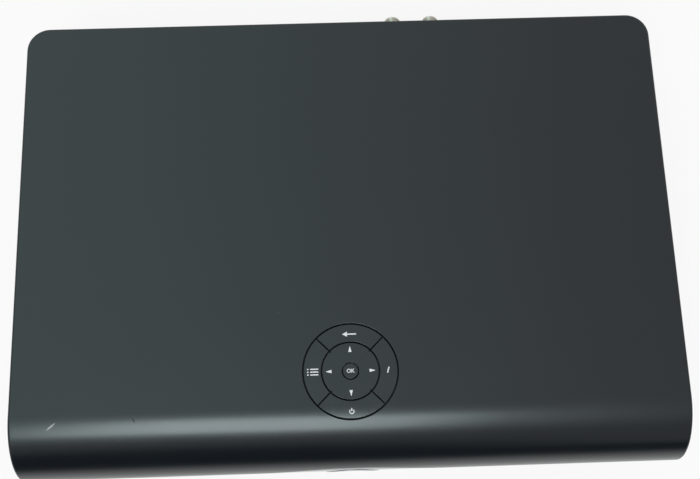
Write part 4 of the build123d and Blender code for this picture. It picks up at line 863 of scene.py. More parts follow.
@dataclass
class CaseForm:
    """Outer form of the case, from which lid, keys, fascia, flap and lens are all carved."""

    half: float = 182.0
    front: float = -133.5
    rear: float = 123.0
    top: float = 76.0
    low: float = 2.0
    wall: float = 2.4
    roll_r: float = 33.0
    roll_steps: int = 48
    chin_r: float = 50.0
    corner_r: float = 13.0
    edge_r: float = 1.6
    lip: float = 38.0
    skirt: float = 30.0
    sweep: Span = (36.0, 52.0)
    sweep_r: float = 14.0
    arch_rise: float = 14.1
    arch_foot: float = 60.0
    arch_crown: float = 30.0
    arch_foot_r: float = 35.0
    arch_crown_r: float = 110.0
    key_y: float = -82.5

    @property
    def nose(self) -> float:
        """Height of the foremost line."""
        return self.top - self.roll_r

    @property
    def roll_y(self) -> float:
        """Where the roof meets the rolled front."""
        return self.front + self.roll_r

    @property
    def chin_y(self) -> float:
        """Middle of the chin's curve."""
        return self.front + self.chin_r

    def solid(self, inset: float, name: str = "form") -> Item:
        """Closed form, `inset` inside the skin.

        Args:
            inset: Distance inside the outer face, in millimetres; below zero it stands outside.
            name: Object name.

        Returns:
            The form.
        """
        half, rear, top, roll_y = self.half - inset, self.rear - inset, self.top - inset, self.roll_y
        chin_turn = math.asin((self.nose - self.low) / (self.chin_r - inset))
        chin_end = self.chin_y - (self.chin_r - inset) * math.cos(chin_turn)
        middle = mm(0, (rear + roll_y) / 2, top)
        form = made(name, bpy.ops.mesh.primitive_plane_add, size=1, location=middle)
        form.scale = mm(2 * half, rear - roll_y, 1)
        settle(form)
        bends = ((self.roll_steps, math.pi / 2, roll_y), (self.roll_steps // 2, chin_turn, self.chin_y))
        with editing(form):
            choose("edges", lambda e: lies_at(e, 1, roll_y))
            for steps, turn, y in bends:
                bpy.ops.mesh.spin(steps=steps, angle=-turn, center=mm(0, y, self.nose), axis=(1, 0, 0))
            bpy.ops.mesh.extrude_region_move(TRANSFORM_OT_translate={"value": mm(0, rear - chin_end, 0)})
            for axis, place in ((1, rear), (0, -half), (0, half)):
                choose("edges", lambda e: e.is_boundary and lies_at(e, axis, place))
                bpy.ops.mesh.edge_face_add()
            weld()
            round_off(self.corner_r - inset, 12, lambda e: runs(e, 2) and all(
                at(v.co.y, rear) and at(abs(v.co.x), half) for v in e.verts))
            if inset < self.edge_r:
                round_off(self.edge_r - inset, 4, self.is_rim)
        return form

    def shell(self, wall: float, name: str) -> Item:
        """Skin of the whole form, one wall thick."""
        return carve(self.solid(0, name), self.solid(wall, "hollow"))

    @staticmethod
    def is_rim(edge: bmesh.types.BMEdge) -> bool:
        """Find the rim of the form.

        Args:
            edge: An edge of it.

        Returns:
            Whether the edge lies between the roof or rolled front and the upright walls.
        """
        kinds = set()
        for n in (face.normal for face in edge.link_faces):
            if abs(n.z) < 0.01 and (abs(n.x) > 0.01 or n.y > 0.5):
                kinds.add("wall")
            elif n.z > 0.99 or (n.y < -0.001 and abs(n.x) < 0.01):
                kinds.add("skin")
        return len(edge.link_faces) == 2 and kinds == {"wall", "skin"}

    def facing(self, place: Vector) -> Vector | None:
        """Direction that the skin faces at a point.

        Args:
            place: The point, in metres.

        Returns:
            The direction, or None where the point isn't on roof, roll or chin.
        """
        y, z, nose = place.y, place.z, mm(self.nose)
        roll_y, chin_y = mm(self.roll_y, self.chin_y)
        if y > roll_y and at(z, self.top, 0.02):
            return Vector((0, 0, 1))
        for centre, radius, side in ((roll_y, self.roll_r, z >= nose), (chin_y, self.chin_r, z < nose)):
            out = Vector((0, y - centre, z - nose))
            if side and y <= centre and abs(out.length - mm(radius)) < mm(0.03):
                return out.normalized()
        return None

    def polish(self, item: Item) -> Item:
        """Turn the corner normals of faces on the skin to the skin's own, so that light runs clean.

        Args:
            item: The piece.

        Returns:
            The piece.
        """
        mesh = item.data
        normals = [Vector(normal.vector) for normal in mesh.corner_normals]
        near = math.cos(math.radians(6))
        for face in mesh.polygons:
            for corner in face.loop_indices:
                true = self.facing(mesh.vertices[mesh.loops[corner].vertex_index].co)
                if true and face.normal.dot(true) > near:
                    normals[corner] = true
        mesh.normals_split_custom_set(normals)
        return item

    def under_lip(self, drop: float = 0.0) -> Item:
        """Everything below the lid's lower edge.

        Args:
            drop: How far it is lowered, in millimetres.

        Returns:
            The form, as a tool.
        """
        lip, skirt = self.lip - drop, self.skirt - drop
        first, second = (self.front + run for run in self.sweep)
        side = cuboid("side_tool", (-200, 200), (self.front - 60, self.rear + 60), (-40, lip))
        turn = math.atan2(lip - skirt, second - first)
        bends = ((first, lip), (second, skirt))
        with editing(side):
            slice_across((0, 1, 0), first, second)
            choose("verts", lambda v: at(v.co.z, lip) and v.co.y > mm(second) - HAIR)
            bpy.ops.transform.translate(value=mm(0, 0, skirt - lip))
            round_off(self.sweep_r * math.tan(turn / 2), 8, lambda e: runs(e, 0) and any(
                at(v.co.y, y) and at(v.co.z, z) for v in e.verts for y, z in bends))
        return carve(side, self.arch(lip), Cut.ADD)

    def arch(self, lip: float) -> Item:
        """Wide, gentle arch over the middle of the fascia.

        Args:
            lip: Height of its foot.

        Returns:
            The arch, as a tool.
        """
        arch = cuboid("arch_tool", (-110, 110), (self.front - 50, self.roll_y), (-30, lip))
        slope = math.atan2(self.arch_rise, self.arch_foot - self.arch_crown)
        with editing(arch, "FACE"):
            slice_across((1, 0, 0), -self.arch_foot, self.arch_foot)
            choose("faces", lambda f: f.normal.z > 0.9 and abs(f.calc_center_median().x) < mm(10))
            bpy.ops.mesh.extrude_region_move(TRANSFORM_OT_translate={"value": mm(0, 0, self.arch_rise)})
            share = self.arch_crown / self.arch_foot
            bpy.ops.transform.resize(value=(share, 1, 1), center_override=(0, 0, 0))
            for x, z, radius in ((self.arch_foot, lip, self.arch_foot_r),
                                 (self.arch_crown, lip + self.arch_rise, self.arch_crown_r)):
                bpy.ops.mesh.select_mode(type="EDGE")
                round_off(radius * math.tan(slope / 2), 16, lambda e: all(
                    at(abs(v.co.x), x) and at(v.co.z, z) for v in e.verts))
        return arch


@dataclass
class Lid(Assembly):
    """One moulding: roof, sides and rolled front, with ribs and bosses inside."""

    form: CaseForm
    aperture_r: float = 25.85
    aperture_round: float = 0.3
    opening_half: float = 169.0
    opening_top: float = 72.3
    opening_y: float = 119.5
    rib_x: tuple[float, ...] = (-140.0, -95.0, 95.0, 140.0)
    rib_y: Span = (-91.5, 93.0)
    rib_half: float = 0.8
    rib_depth: float = 3.2
    boss_x: tuple[float, ...] = (-120.0, 5.0, 152.0)
    boss_y: Span = (107.5, 119.45)
    boss_half: float = 4.5
    boss_foot: float = 63.0
    post_at: float = 33.0
    post_r: float = 3.0
    post_foot: float = 68.4

    def ribs(self) -> Item:
        """Ribs, screw bosses and key-carrier posts under the roof.

        Returns:
            All of them, as one tool.
        """
        under = self.form.top - self.form.wall + 0.2
        parts = [cuboid("rib", about(x, self.rib_half), self.rib_y, (under - self.rib_depth, under))
                 for x in self.rib_x]
        parts += [cuboid("boss", about(x, self.boss_half), self.boss_y, (self.boss_foot, under))
                  for x in self.boss_x]
        parts += [column("post", self.post_r, polar(self.post_at, turn, self.form.key_y),
                         (self.post_foot, under - 1.2), 24) for turn in (45, 135, 225, 315)]
        return join(*parts)

    def build(self) -> dict[str, Item]:
        """Mould the lid.

        Returns:
            The lid, with its lip, arch, key aperture and rear opening.
        """
        lid = carve(self.form.shell(self.form.wall, "lid_moulding"), self.form.under_lip())
        carve(lid, cuboid("rear_tool", about(0, self.opening_half), (self.opening_y, 200),
                          (-10, self.opening_top)))
        carve(lid, column("aperture_tool", self.aperture_r, (0, self.form.key_y), (43, 90), 160))
        with editing(lid):
            round_off(self.aperture_round, 3, self.is_aperture_edge)
        carve(lid, self.ribs(), Cut.ADD)
        return {"lid": self.form.polish(smooth(lid))}

    def is_aperture_edge(self, edge: bmesh.types.BMEdge) -> bool:
        """Find the top of the key aperture.

        Args:
            edge: An edge of the lid.

        Returns:
            Whether the edge runs round it.
        """
        key_y, radius, high = mm(self.form.key_y, self.aperture_r, self.form.top - 1.5)
        return all(v.co.z > high and abs(math.hypot(v.co.x, v.co.y - key_y) - radius) < mm(0.02)
                   for v in edge.verts)


class Key(Enum):
    """The four outer keys and the direction each lies in, in degrees."""

    INFO = 0
    BACK = 90
    GUIDE = 180
    POWER = 270


@dataclass
class KeyCluster(Assembly):
    """Four outer keys, a tilting ring and a round key, all cut from one disc of the case form."""

    form: CaseForm
    outer_r: float = 25.15
    inner_r: float = 15.9
    ring_r: float = 15.15
    bore_r: float = 4.65
    select_r: float = 4.1
    spoke: float = 0.6
    cap_round: float = 0.22
    fold: float = 0.3
    floor: float = 74.0
    stem_r: float = 1.6
    stem_foot: float = 66.1
    stem_at: float = 20.5
    ring_stem_at: float = 12.4
    sleeve_wall: float = 0.9
    pivot_z: float = 71.0
    pin_r: float = 0.5
    pin_y: Span = (5.2, 7.3)
    mark_at: float = 11.6
    label_at: float = 20.3
    sign_z: float = 80.0
    ink: float = 0.02

    @property
    def y(self) -> float:
        """Middle of the cluster."""
        return self.form.key_y

    def disc(self, name: str, radius: float, z: Span, sides: int = 160) -> Item:
        """Upright bar in the middle of the cluster."""
        return column(name, radius, (0, self.y), z, sides)

    def caps(self) -> dict[str, Item]:
        """Cut a disc into its six caps.

        Returns:
            Name of each cap, and the cap.
        """
        disc = self.disc("key_disc", self.outer_r, (self.floor, 90))
        carve(disc, self.form.solid(0), Cut.KEEP_COMMON)
        for outer, inner in ((self.inner_r, self.ring_r), (self.bore_r, self.select_r)):
            gap = carve(self.disc("ring_tool", outer, (60, 90)), self.disc("bore_tool", inner, (50, 100)))
            carve(disc, gap)
        for degrees in (45, 135, 225, 315):
            x, y = polar((self.inner_r + self.outer_r) / 2, degrees, self.y)
            carve(disc, cuboid("spoke_tool", about(x, 6), about(y, self.spoke / 2), (60, 90),
                               math.radians(degrees)))
        pick(disc)
        bpy.ops.mesh.separate(type="LOOSE")
        caps: dict[str, Item] = {}
        for piece in list(bpy.context.selected_objects):
            xs = [v.co.x for v in piece.data.vertices]
            ys = [v.co.y - mm(self.y) for v in piece.data.vertices]
            centre = Vector(((min(xs) + max(xs)) / 2, (min(ys) + max(ys)) / 2))
            if centre.length > mm(5):
                angle = round(math.degrees(math.atan2(centre.y, centre.x)) / 90) * 90 % 360
                caps[Key(angle).name.lower()] = piece
            else:
                caps["ring" if max(xs) > mm(10) else "select"] = piece
        for name, piece in caps.items():
            piece.name = f"{name}_key_cap"
            self.round_cap(piece)
        return caps

    def round_cap(self, piece: Item) -> None:
        """Round the upper edges of a cap.

        Args:
            piece: The cap.
        """
        with editing(piece):
            high = mm(self.form.top - 1.1)
            round_off(self.cap_round, 3, lambda e: is_corner(e) and all(v.co.z > high for v in e.verts))
            # The bevel folds a few small faces where it meets the strips of the rolled front.
            choose("verts", lambda v: any(
                f.normal.y < -0.01 and f.normal.z > 0.9 and f.calc_area() > mm(1) ** 2 for f in v.link_faces))
            bpy.ops.mesh.remove_doubles(threshold=mm(self.fold))

    def stem(self, x: float, y: float) -> Item:
        """Stem from a cap down to its plunger."""
        return column("stem", self.stem_r, (x, y), (self.stem_foot, self.floor + 0.5), 24)

    def sign(self, name: str, corners: Sequence[Sequence[float]]) -> Item:
        """Small flat shape of ink, about the cluster's middle."""
        return outline(name, [(x, y + self.y) for x, y in corners], self.sign_z)

    def bar(self, x: Span, y: Span) -> Item:
        """Upright rectangle of ink."""
        return self.sign("bar", [(x[0], y[0]), (x[1], y[0]), (x[1], y[1]), (x[0], y[1])])

    def arrow(self, angle: float) -> Item:
        """Narrow wedge that points outwards.

        Args:
            angle: Its direction in degrees.

        Returns:
            The wedge.
        """
        out, across = Vector(polar(1, angle, 0)), Vector(polar(1, angle + 90, 0))
        base, tip = out * (self.mark_at - 1.4), out * (self.mark_at + 1.6)
        wide, thin = across * 0.88, across * 0.1
        return self.sign("arrow", [base - wide, tip - thin, tip + thin, base + wide])

    def back_sign(self) -> Item:
        """Arrow to the left.

        Returns:
            The arrow.
        """
        y = self.label_at - 0.4
        head = self.sign("head", [(-4.0, y), (-1.3, y - 1.35), (-1.3, y + 1.35)])
        return join(head, self.bar((-1.4, 3.6), about(y, 0.33)))

    def guide_sign(self) -> Item:
        """Three listed lines with their bullets.

        Returns:
            The sign.
        """
        x = -self.label_at
        return join(*(self.bar((x + start, x + end), about(y, 0.3))
                      for y in (-1.5, 0.0, 1.5) for start, end in ((-3.0, -2.2), (-1.3, 3.0))))

    def power_sign(self) -> Item:
        """Broken ring with an upright stroke.

        Returns:
            The sign.
        """
        y = -self.label_at - 1.1
        middle = Vector(mm(0, self.y + y, self.sign_z))
        ring = settle(made("power_sign", bpy.ops.mesh.primitive_circle_add, vertices=40, radius=mm(1.4),
                           fill_type="TRIFAN", location=middle))
        with editing(ring, "FACE"):
            choose_all()
            bpy.ops.mesh.inset(thickness=mm(0.45))
            choose("faces", lambda f: math.hypot(*(f.calc_center_median() - middle).xy) < mm(0.95))
            bpy.ops.mesh.delete(type="FACE")
            choose("faces", lambda f: f.calc_center_median().y > mm(self.y + y + 0.86))
            bpy.ops.mesh.delete(type="FACE")
        return join(ring, self.bar((-0.22, 0.22), (y + 0.1, y + 1.85)))

    def text_sign(self, text: str, x: float, size: float, slant: float, weight: float) -> Item:
        """Short generic label as a flat mesh.

        Args:
            text: One or two letters.
            x: Its place to the right of the cluster's middle.
            size: Height of the letters, in millimetres.
            slant: How far they lean.
            weight: How much their strokes are thickened, in millimetres.

        Returns:
            The label.
        """
        sign = made("label", bpy.ops.object.text_add, location=mm(x, self.y, self.sign_z))
        sign.data.body = text
        sign.data.size = mm(size)
        sign.data.shear = slant
        sign.data.align_x = sign.data.align_y = "CENTER"
        sign.data.offset = mm(weight)
        pick(sign)
        bpy.ops.object.convert(target="MESH")
        return settle(bpy.context.object)

    def print_on(self, cap: Item, sign: Item) -> None:
        """Lay a flat sign on a cap, a film of ink thick, and make it part of the cap.

        Args:
            cap: The cap.
            sign: The sign, which is used up.
        """
        with editing(sign, "FACE"):
            choose_all()
            bpy.ops.mesh.remove_doubles(threshold=HAIR)
            bpy.ops.mesh.quads_convert_to_tris()
            bpy.ops.mesh.subdivide(number_cuts=2)
            choose_all()
            bpy.ops.mesh.normals_make_consistent(inside=False)
        modify(sign, "SHRINKWRAP", target=cap, wrap_method="PROJECT", use_project_z=True,
               use_negative_direction=True, use_positive_direction=False, offset=mm(self.ink))
        inlay(cap, PRINT_WHITE, sign)

    def build(self) -> dict[str, Item]:
        """Make the six keys with their stems and signs.

        Returns:
            The keys, each under the node that it stands for.
        """
        caps = self.caps()
        for cap in caps.values():
            cap.data.materials.append(FINISHES["key_satin"].material())
        for key in Key:
            join(caps[key.name.lower()], self.stem(*polar(self.stem_at, key.value, self.y)))
            join(caps["ring"], self.stem(*polar(self.ring_stem_at, key.value, self.y)))
        join(caps["select"], self.stem(0, self.y))
        span = (self.pivot_z - 0.7, self.floor + 0.2)
        sleeve = self.disc("sleeve", self.bore_r + self.sleeve_wall, span, 48)
        carve(sleeve, self.disc("sleeve_bore", self.bore_r, (60, 80), 48))
        start, end = self.pin_y
        join(caps["ring"], sleeve, *(
            shaft("pin", self.pin_r, (0, self.pivot_z), (self.y + side * start, self.y + side * end), 16)
            for side in (-1, 1)
        ))
        for cap in caps.values():
            self.form.polish(smooth(cap))
        signs = [("ring", self.arrow(key.value)) for key in Key]
        signs += [
            ("back", self.back_sign()), ("guide", self.guide_sign()), ("power", self.power_sign()),
            ("info", self.text_sign("i", self.label_at - 0.5, 4.6, 0.3, 0.13)),
            ("select", self.text_sign("OK", 0, 2.9, 0.0, 0.04)),
        ]
        for name, sign in signs:
            self.print_on(caps[name], sign)
        return {"rocker_ring" if name == "ring" else f"{name}_button": cap for name, cap in caps.items()}


@dataclass
class Fascia(Assembly):
    """Gloss front under the lid's lip, with the card flap, the round lens and its lights."""

    form: CaseForm
    gap: float = 0.4
    chin: float = 8.0
    cheek: float = 54.0
    bay: float = 13.5
    bay_wall: float = 1.6
    flap_x: Span = (78.0, 164.0)
    flap_top: float = 33.5
    pin_z: float = 14.6
    barrel_r: float = 2.0
    bore_r: float = 0.85
    flap_wall: float = 2.0
    lift: float = 0.8
    lens_z: float = 31.8
    lens_r: float = 16.0
    lens_slip: float = 0.3
    flange_r: Span = (15.0, 18.5)
    flange_wall: Span = (0.05, 1.2)
    proud: float = 0.3
    light_x: tuple[float, ...] = (-140.0, -131.0, -122.0, -113.0)
    light_z: float = 26.0
    light_r: float = 1.55
    window: tuple[float, float] = (48.0, 28.0)
    window_half: tuple[float, float] = (6.65, 3.65)
    post_xz: tuple[tuple[float, float], ...] = ((-148, 18), (-60, 18), (57, 18), (-30, 44), (30, 44))
    post_r: float = 2.5

    @property
    def pin_y(self) -> float:
        """Where the flap's pin lies behind the skin."""
        reach = (self.form.chin_r - self.barrel_r) ** 2 - (self.pin_z - self.form.nose) ** 2
        return self.form.chin_y - math.sqrt(reach)

    def run(self, start: float, end: float) -> Span:
        """Span from front to back, measured from the foremost line."""
        return self.form.front + start, self.form.front + end

    def hole(self, grow: float, y: Span) -> Item:
        """Opening of the flap.

        Args:
            grow: How much larger it is on all sides, in millimetres.
            y: Span from front to back.

        Returns:
            The opening, as a tool.
        """
        x = (self.flap_x[0] - self.gap - grow, self.flap_x[1] + self.gap + grow)
        low, high = self.pin_z - self.barrel_r - self.lift, self.flap_top + self.gap
        return cuboid("hole", x, y, (low - grow, high + grow))

    def moulding(self) -> Item:
        """Mould the fascia itself.

        Returns:
            The fascia, with its bay, posts and openings.
        """
        wall = self.form.wall
        skin = self.form.shell(wall, "fascia_moulding")
        carve(skin, self.form.under_lip(self.gap), Cut.KEEP_COMMON)
        carve(skin, cuboid("span", (-190, 190), self.run(-5, self.cheek), (self.chin, 76)), Cut.KEEP_COMMON)
        inner = self.form.solid(wall - 0.5, "inner")
        fixed = [self.hole(self.bay_wall, self.run(0, self.bay))]
        fixed += [shaft("post", self.post_r, place, self.run(0, 14.5), 24) for place in self.post_xz]
        for part in fixed:
            carve(skin, carve(part, inner, Cut.KEEP_COMMON, keep_tool=True), Cut.ADD)
        bpy.data.objects.remove(inner, do_unlink=True)
        carve(skin, self.hole(0, self.run(-1, 27)))
        carve(skin, shaft("lens_hole", self.lens_r + self.lens_slip, (0, self.lens_z), self.run(-5, 20), 96))
        for x in self.light_x:
            carve(skin, shaft("light_hole", self.light_r, (x, self.light_z), self.run(-5, 20), 24))
        across, upwards = (about(middle, half) for middle, half in zip(self.window, self.window_half))
        return smooth(carve(skin, cuboid("window_hole", across, self.run(-5, 14), upwards)))

    def flap(self) -> Item:
        """Curved door with its hinge barrel.

        Returns:
            The door.
        """
        door = self.form.shell(self.flap_wall, "card_flap_door")
        tall = (self.pin_z - 1.2, self.flap_top)
        carve(door, cuboid("span", self.flap_x, self.run(-5, self.bay), tall), Cut.KEEP_COMMON)
        for name, radius, more, sides, how in (("barrel", self.barrel_r, 0, 32, Cut.ADD),
                                               ("bore", self.bore_r, 1, 24, Cut.TAKE_AWAY)):
            ends = [(x, self.pin_y, self.pin_z) for x in (self.flap_x[0] - more, self.flap_x[1] + more)]
            carve(door, rod(name, radius, *ends, sides), how)
        return smooth(ease(door, 0.25))

    def lens(self) -> Item:
        """Round lens, a little proud of the nose, with its flange behind.

        Returns:
            The lens.
        """
        place, wall = (0, self.lens_z), self.form.wall
        disc = shaft("status_lens_disc", self.lens_r, place, self.run(-33, 14.5), 128)
        carve(disc, self.form.solid(-self.proud), Cut.KEEP_COMMON)
        with editing(disc):
            round_off(0.2, 3, self.is_lens_rim)
        carve(disc, self.form.solid(wall, "hollow"))
        inner, outer = self.flange_r
        flange = shaft("flange", outer, place, self.run(0, 14.5), 96)
        carve(flange, shaft("flange_bore", inner, place, self.run(-5, 20), 96))
        carve(flange, self.form.solid(wall + self.flange_wall[0]), Cut.KEEP_COMMON)
        carve(flange, self.form.solid(wall + self.flange_wall[1]))
        return smooth(carve(disc, flange, Cut.ADD))

    def is_lens_rim(self, edge: bmesh.types.BMEdge) -> bool:
        """Find the front of the lens.

        Args:
            edge: An edge of it.

        Returns:
            Whether the edge runs round the front.
        """
        behind, middle, radius = mm(self.form.front + 8, self.lens_z, self.lens_r - 0.1)
        return is_corner(edge) and all(
            v.co.y < behind and math.hypot(v.co.x, v.co.z - middle) > radius for v in edge.verts)

    def build(self) -> dict[str, Item]:
        """Make the front's pieces.

        Returns:
            The pieces, each under the node that it stands for.
        """
        return {
            "front_fascia": self.moulding(),
            "card_flap": self.flap(),
            "status_lens": self.lens(),
            "indicator_lights": merged_copy("indicator_lights", "indicator_pipes", 0.1),
            "infrared_window": merged_copy("infrared_window", "receiver_window", 0.15),
        }


@dataclass
class RearSockets(Assembly):
    """Threaded dish connectors, socket contacts and screws on the rear panel."""

    panel: float = 120.8
    dish_x: tuple[float, float] = (32.7, 55.7)
    dish_z: float = 54.0
    thread_r: float = 4.7625
    thread_depth: float = 0.42
    thread_steps: int = 32
    pitch: float = 0.794
    tip: float = 134.5
    nut_half: float = 5.6
    nut_end: float = 123.0
    bore_r: float = 3.6
    contact_r: Span = (0.35, 0.7)
    screw_x: tuple[float, ...] = (-120.0, 5.0, 152.0)
    screw_z: float = 67.5
    head_r: float = 2.9
    head: float = 1.6
    cross: Span = (0.32, 1.6)
    board: float = 12.6
    socket_face: float = 121.2
    scart_x: float = -137.0
    scart_face: float = 122.0
    scart_levels: Span = (20.6, 37.8)
    scart_pitch: float = 3.81
    scart_row: float = 2.3
    phono_x: float = -99.0
    phono_r: float = 3.3
    phono_levels: Span = (20.1, 34.6)
    phono_tip: float = 129.3
    phono_collar: Span = (119.9, 121.7)
    wire_pitch: float = 1.02

    def dish_connector(self, x: float) -> Item:
        """Barrel with a cut thread, a chamfered nut, a bore and its contact.

        Args:
            x: Place across the panel.

        Returns:
            The connector.
        """
        place, core, tip = (x, self.dish_z), self.thread_r - self.thread_depth, self.tip
        barrel = shaft("dish_connector", core, place, (self.panel - 8, tip))
        with editing(barrel):
            round_off(0.8, 4, lambda e: lies_at(e, 1, tip))
        ridge = self.thread(x, self.nut_end + 0.2, int((tip - self.nut_end - 1.6) / self.pitch), core)
        nut = shaft("nut", self.nut_half / math.cos(math.pi / 6), place, (self.panel, self.nut_end), 6)
        ease(nut, 0.25)
        carve(barrel, shaft("bore_tool", self.bore_r, place, (tip - 1.2, tip + 2)))
        inner, outer = self.contact_r
        contact = shaft("contact", outer, place, (tip - 1.4, tip - 0.4), 20)
        carve(contact, shaft("contact_bore", inner, place, (tip - 1.0, tip + 1), 16))
        return smooth(join(barrel, ridge, nut, contact))

    def thread(self, x: float, start: float, turns: int, core: float) -> Item:
        """Helical ridge round a core.

        Args:
            x: Place across the panel.
            start: Where it begins.
            turns: How often it goes round.
            core: Radius of the core.

        Returns:
            The ridge.
        """
        foot = self.pitch * 0.44
        ridge = outline("ridge", ((core - 0.1, -foot), (self.thread_r, 0.0), (core - 0.1, foot)))
        steps = self.thread_steps * turns
        modify(ridge, "SCREW", axis="Y", angle=math.tau * turns, screw_offset=mm(self.pitch * turns),
               steps=steps, render_steps=steps, use_merge_vertices=True)
        ridge.location = mm(x, start + foot, self.dish_z)
        settle(ridge)
        with editing(ridge, "FACE"):
            weld()
        return ridge

    def cross_screw(self, x: float) -> Item:
        """Pan-head screw with a cross recess.

        Args:
            x: Place across the panel.

        Returns:
            The screw.
        """
        z, face = self.screw_z, self.panel + self.head
        screw = shaft("lid_screw", self.head_r, (x, z), (self.panel, face))
        with editing(screw):
            round_off(0.9, 5, lambda e: lies_at(e, 1, face))
        thin, wide = self.cross
        for across, upwards in ((wide, thin), (thin, wide)):
            carve(screw, cuboid("cross", about(x, across), about(face, 1), about(z, upwards)))
        return smooth(join(screw, shaft("shank", 1.5, (x, z), (self.panel - 9, self.panel), 20)))

    def video_outlets(self) -> Item:
        """Two 21-pin outlets with a slit and a sprung blade for each pin.

        Returns:
            Both outlets, as one piece.
        """
        face, pitch = self.scart_face, self.scart_pitch
        rows = ((self.scart_row, 0.0), (-self.scart_row, pitch / 2))
        places = [(self.scart_x + (pin - 4.5) * pitch + shift, level + row)
                  for level in self.scart_levels for row, shift in rows for pin in range(10)]
        slits = [cuboid("slit", about(x, 0.45), (face - 6, face + 1), about(z, 1.7)) for x, z in places]
        blades = [cuboid("blade", about(x, 0.2), (face - 6.5, face - 0.9), about(z, 1.4)) for x, z in places]
        sockets = carve(merged_copy("scart_sockets", "video_outlets", 0.25), join(*slits))
        return inlay(smooth(sockets), FINISHES["socket_metal"], *blades)

    def sound_outlets(self) -> Item:
        """Two phono outlets whose collar and insulator tell left from right.

        Returns:
            Both outlets, as one piece.
        """
        sockets, sunk = merged_copy("audio_sockets", "sound_outlets", 0.2), self.phono_tip - 0.4
        for level in self.phono_levels:
            span = (sunk, self.phono_tip + 1)
            carve(sockets, shaft("insulator", self.phono_r, (self.phono_x, level), span))
        smooth(sockets)
        low, high = self.phono_collar
        for level, finish in zip(self.phono_levels, OUTLET_COLOURS):
            paint(sockets, finish, lambda face: abs(face.middle.z - level) < 6 and (
                low < face.middle.y < high or abs(face.middle.y - sunk) < 0.05 and face.normal.y > 0.9))
        return sockets

    def tongued(self, node: str, name: str, x: float, half: float, z: Span, depth: float,
                pins: Sequence[float]) -> Item:
        """Metal shell round a black tongue with gilt contacts under it.

        Args:
            node: CAD node of the socket.
            name: Name of the piece.
            x: Middle of the socket.
            half: Half the tongue's width.
            z: Lowest and highest point of the tongue.
            depth: How far the mouth goes in.
            pins: Places of the contacts from the middle.

        Returns:
            The socket.
        """
        floor, slack = self.socket_face - depth, 0.05
        socket = paint(merged_copy(node, name, 0.15), FINISHES["socket_black"], lambda face: (
            floor - slack < face.middle.y < self.panel + slack and abs(face.middle.x - x) < half + slack
            and (z[0] - slack < face.middle.z < z[1] + slack or face.middle.y < floor + slack)))
        return inlay(socket, GOLD_CONTACT, *(
            cuboid("contact", about(x + pin, 0.3), (floor, self.panel - 0.4), (z[0] - 0.15, z[0] + 0.1))
            for pin in pins
        ))

    def wired(self, node: str, name: str, x: float, wires: int, rise: float) -> Item:
        """Modular jack with its sprung wires.

        Args:
            node: CAD node of the jack.
            name: Name of the piece.
            x: Middle of the jack.
            wires: How many wires it has.
            rise: How far they rise towards the back.

        Returns:
            The jack.
        """
        floor, face = self.board + 2.4, self.socket_face
        places = [x + (wire - (wires - 1) / 2) * self.wire_pitch for wire in range(wires)]
        return inlay(merged_copy(node, name, 0.2), GOLD_CONTACT, *(
            rod("wire", 0.22, (place, face - 1.5, floor + 0.3), (place, face - 9, floor + rise), 8)
            for place in places
        ))

    def build(self) -> dict[str, Item]:
        """Make the rear's pieces.

        Returns:
            The pieces, each under the node that it stands for.
        """
        few, many = (-3.5, -1.0, 1.0, 3.5), [pin - 4.5 for pin in range(10)]
        return {
            "scart_sockets": self.video_outlets(),
            "audio_sockets": self.sound_outlets(),
            "usb_socket": self.tongued("usb_socket", "serial_port", -45.0, 5.55, (15.8, 17.6), 9.0, few),
            "hdmi_socket": self.tongued("hdmi_socket", "video_port", -64.0, 5.8, (15.3, 16.7), 8.0, many),
            "network_socket": self.wired("network_socket", "network_jack", -24.0, 8, 4.5),
            "phone_socket": self.wired("phone_socket", "telephone_jack", -3.0, 6, 4.0),
            "dish_connectors": join(*(self.dish_connector(x) for x in self.dish_x)),
            "lid_screws": join(*(self.cross_screw(x) for x in self.screw_x)),
        }


@dataclass
class EasedNodes(Assembly):
    """CAD nodes in view that keep their shape and get eased edges."""

    widths: tuple[tuple[str, float], ...] = (
        ("base_tray", 0.0), ("rear_panel", 0.15), ("feet", 0.4), ("aerial_sockets", 0.2),
        ("optical_socket", 0.2), ("mains_inlet", 0.3), ("mains_inlet_pins", 0.2), ("fan_frame", 0.3),
        ("fan_rotor", 0.2), ("tuner_can", 0.0),
    )

    def build(self) -> dict[str, Item]:
        """An eased copy of each node."""
        return {node: merged_copy(node, f"{node}_eased", width) for node, width in self.widths}


@dataclass(frozen=True)
class Softbox:
    """Rectangular lamp: its place in millimetres, size in metres, watts and use.

    A mirrored lamp shows in reflections and nowhere else; another one lights only what is matt.
    """

    name: str
    place: Point
    size: tuple[float, float]
    power: float
    mirrored: bool = False


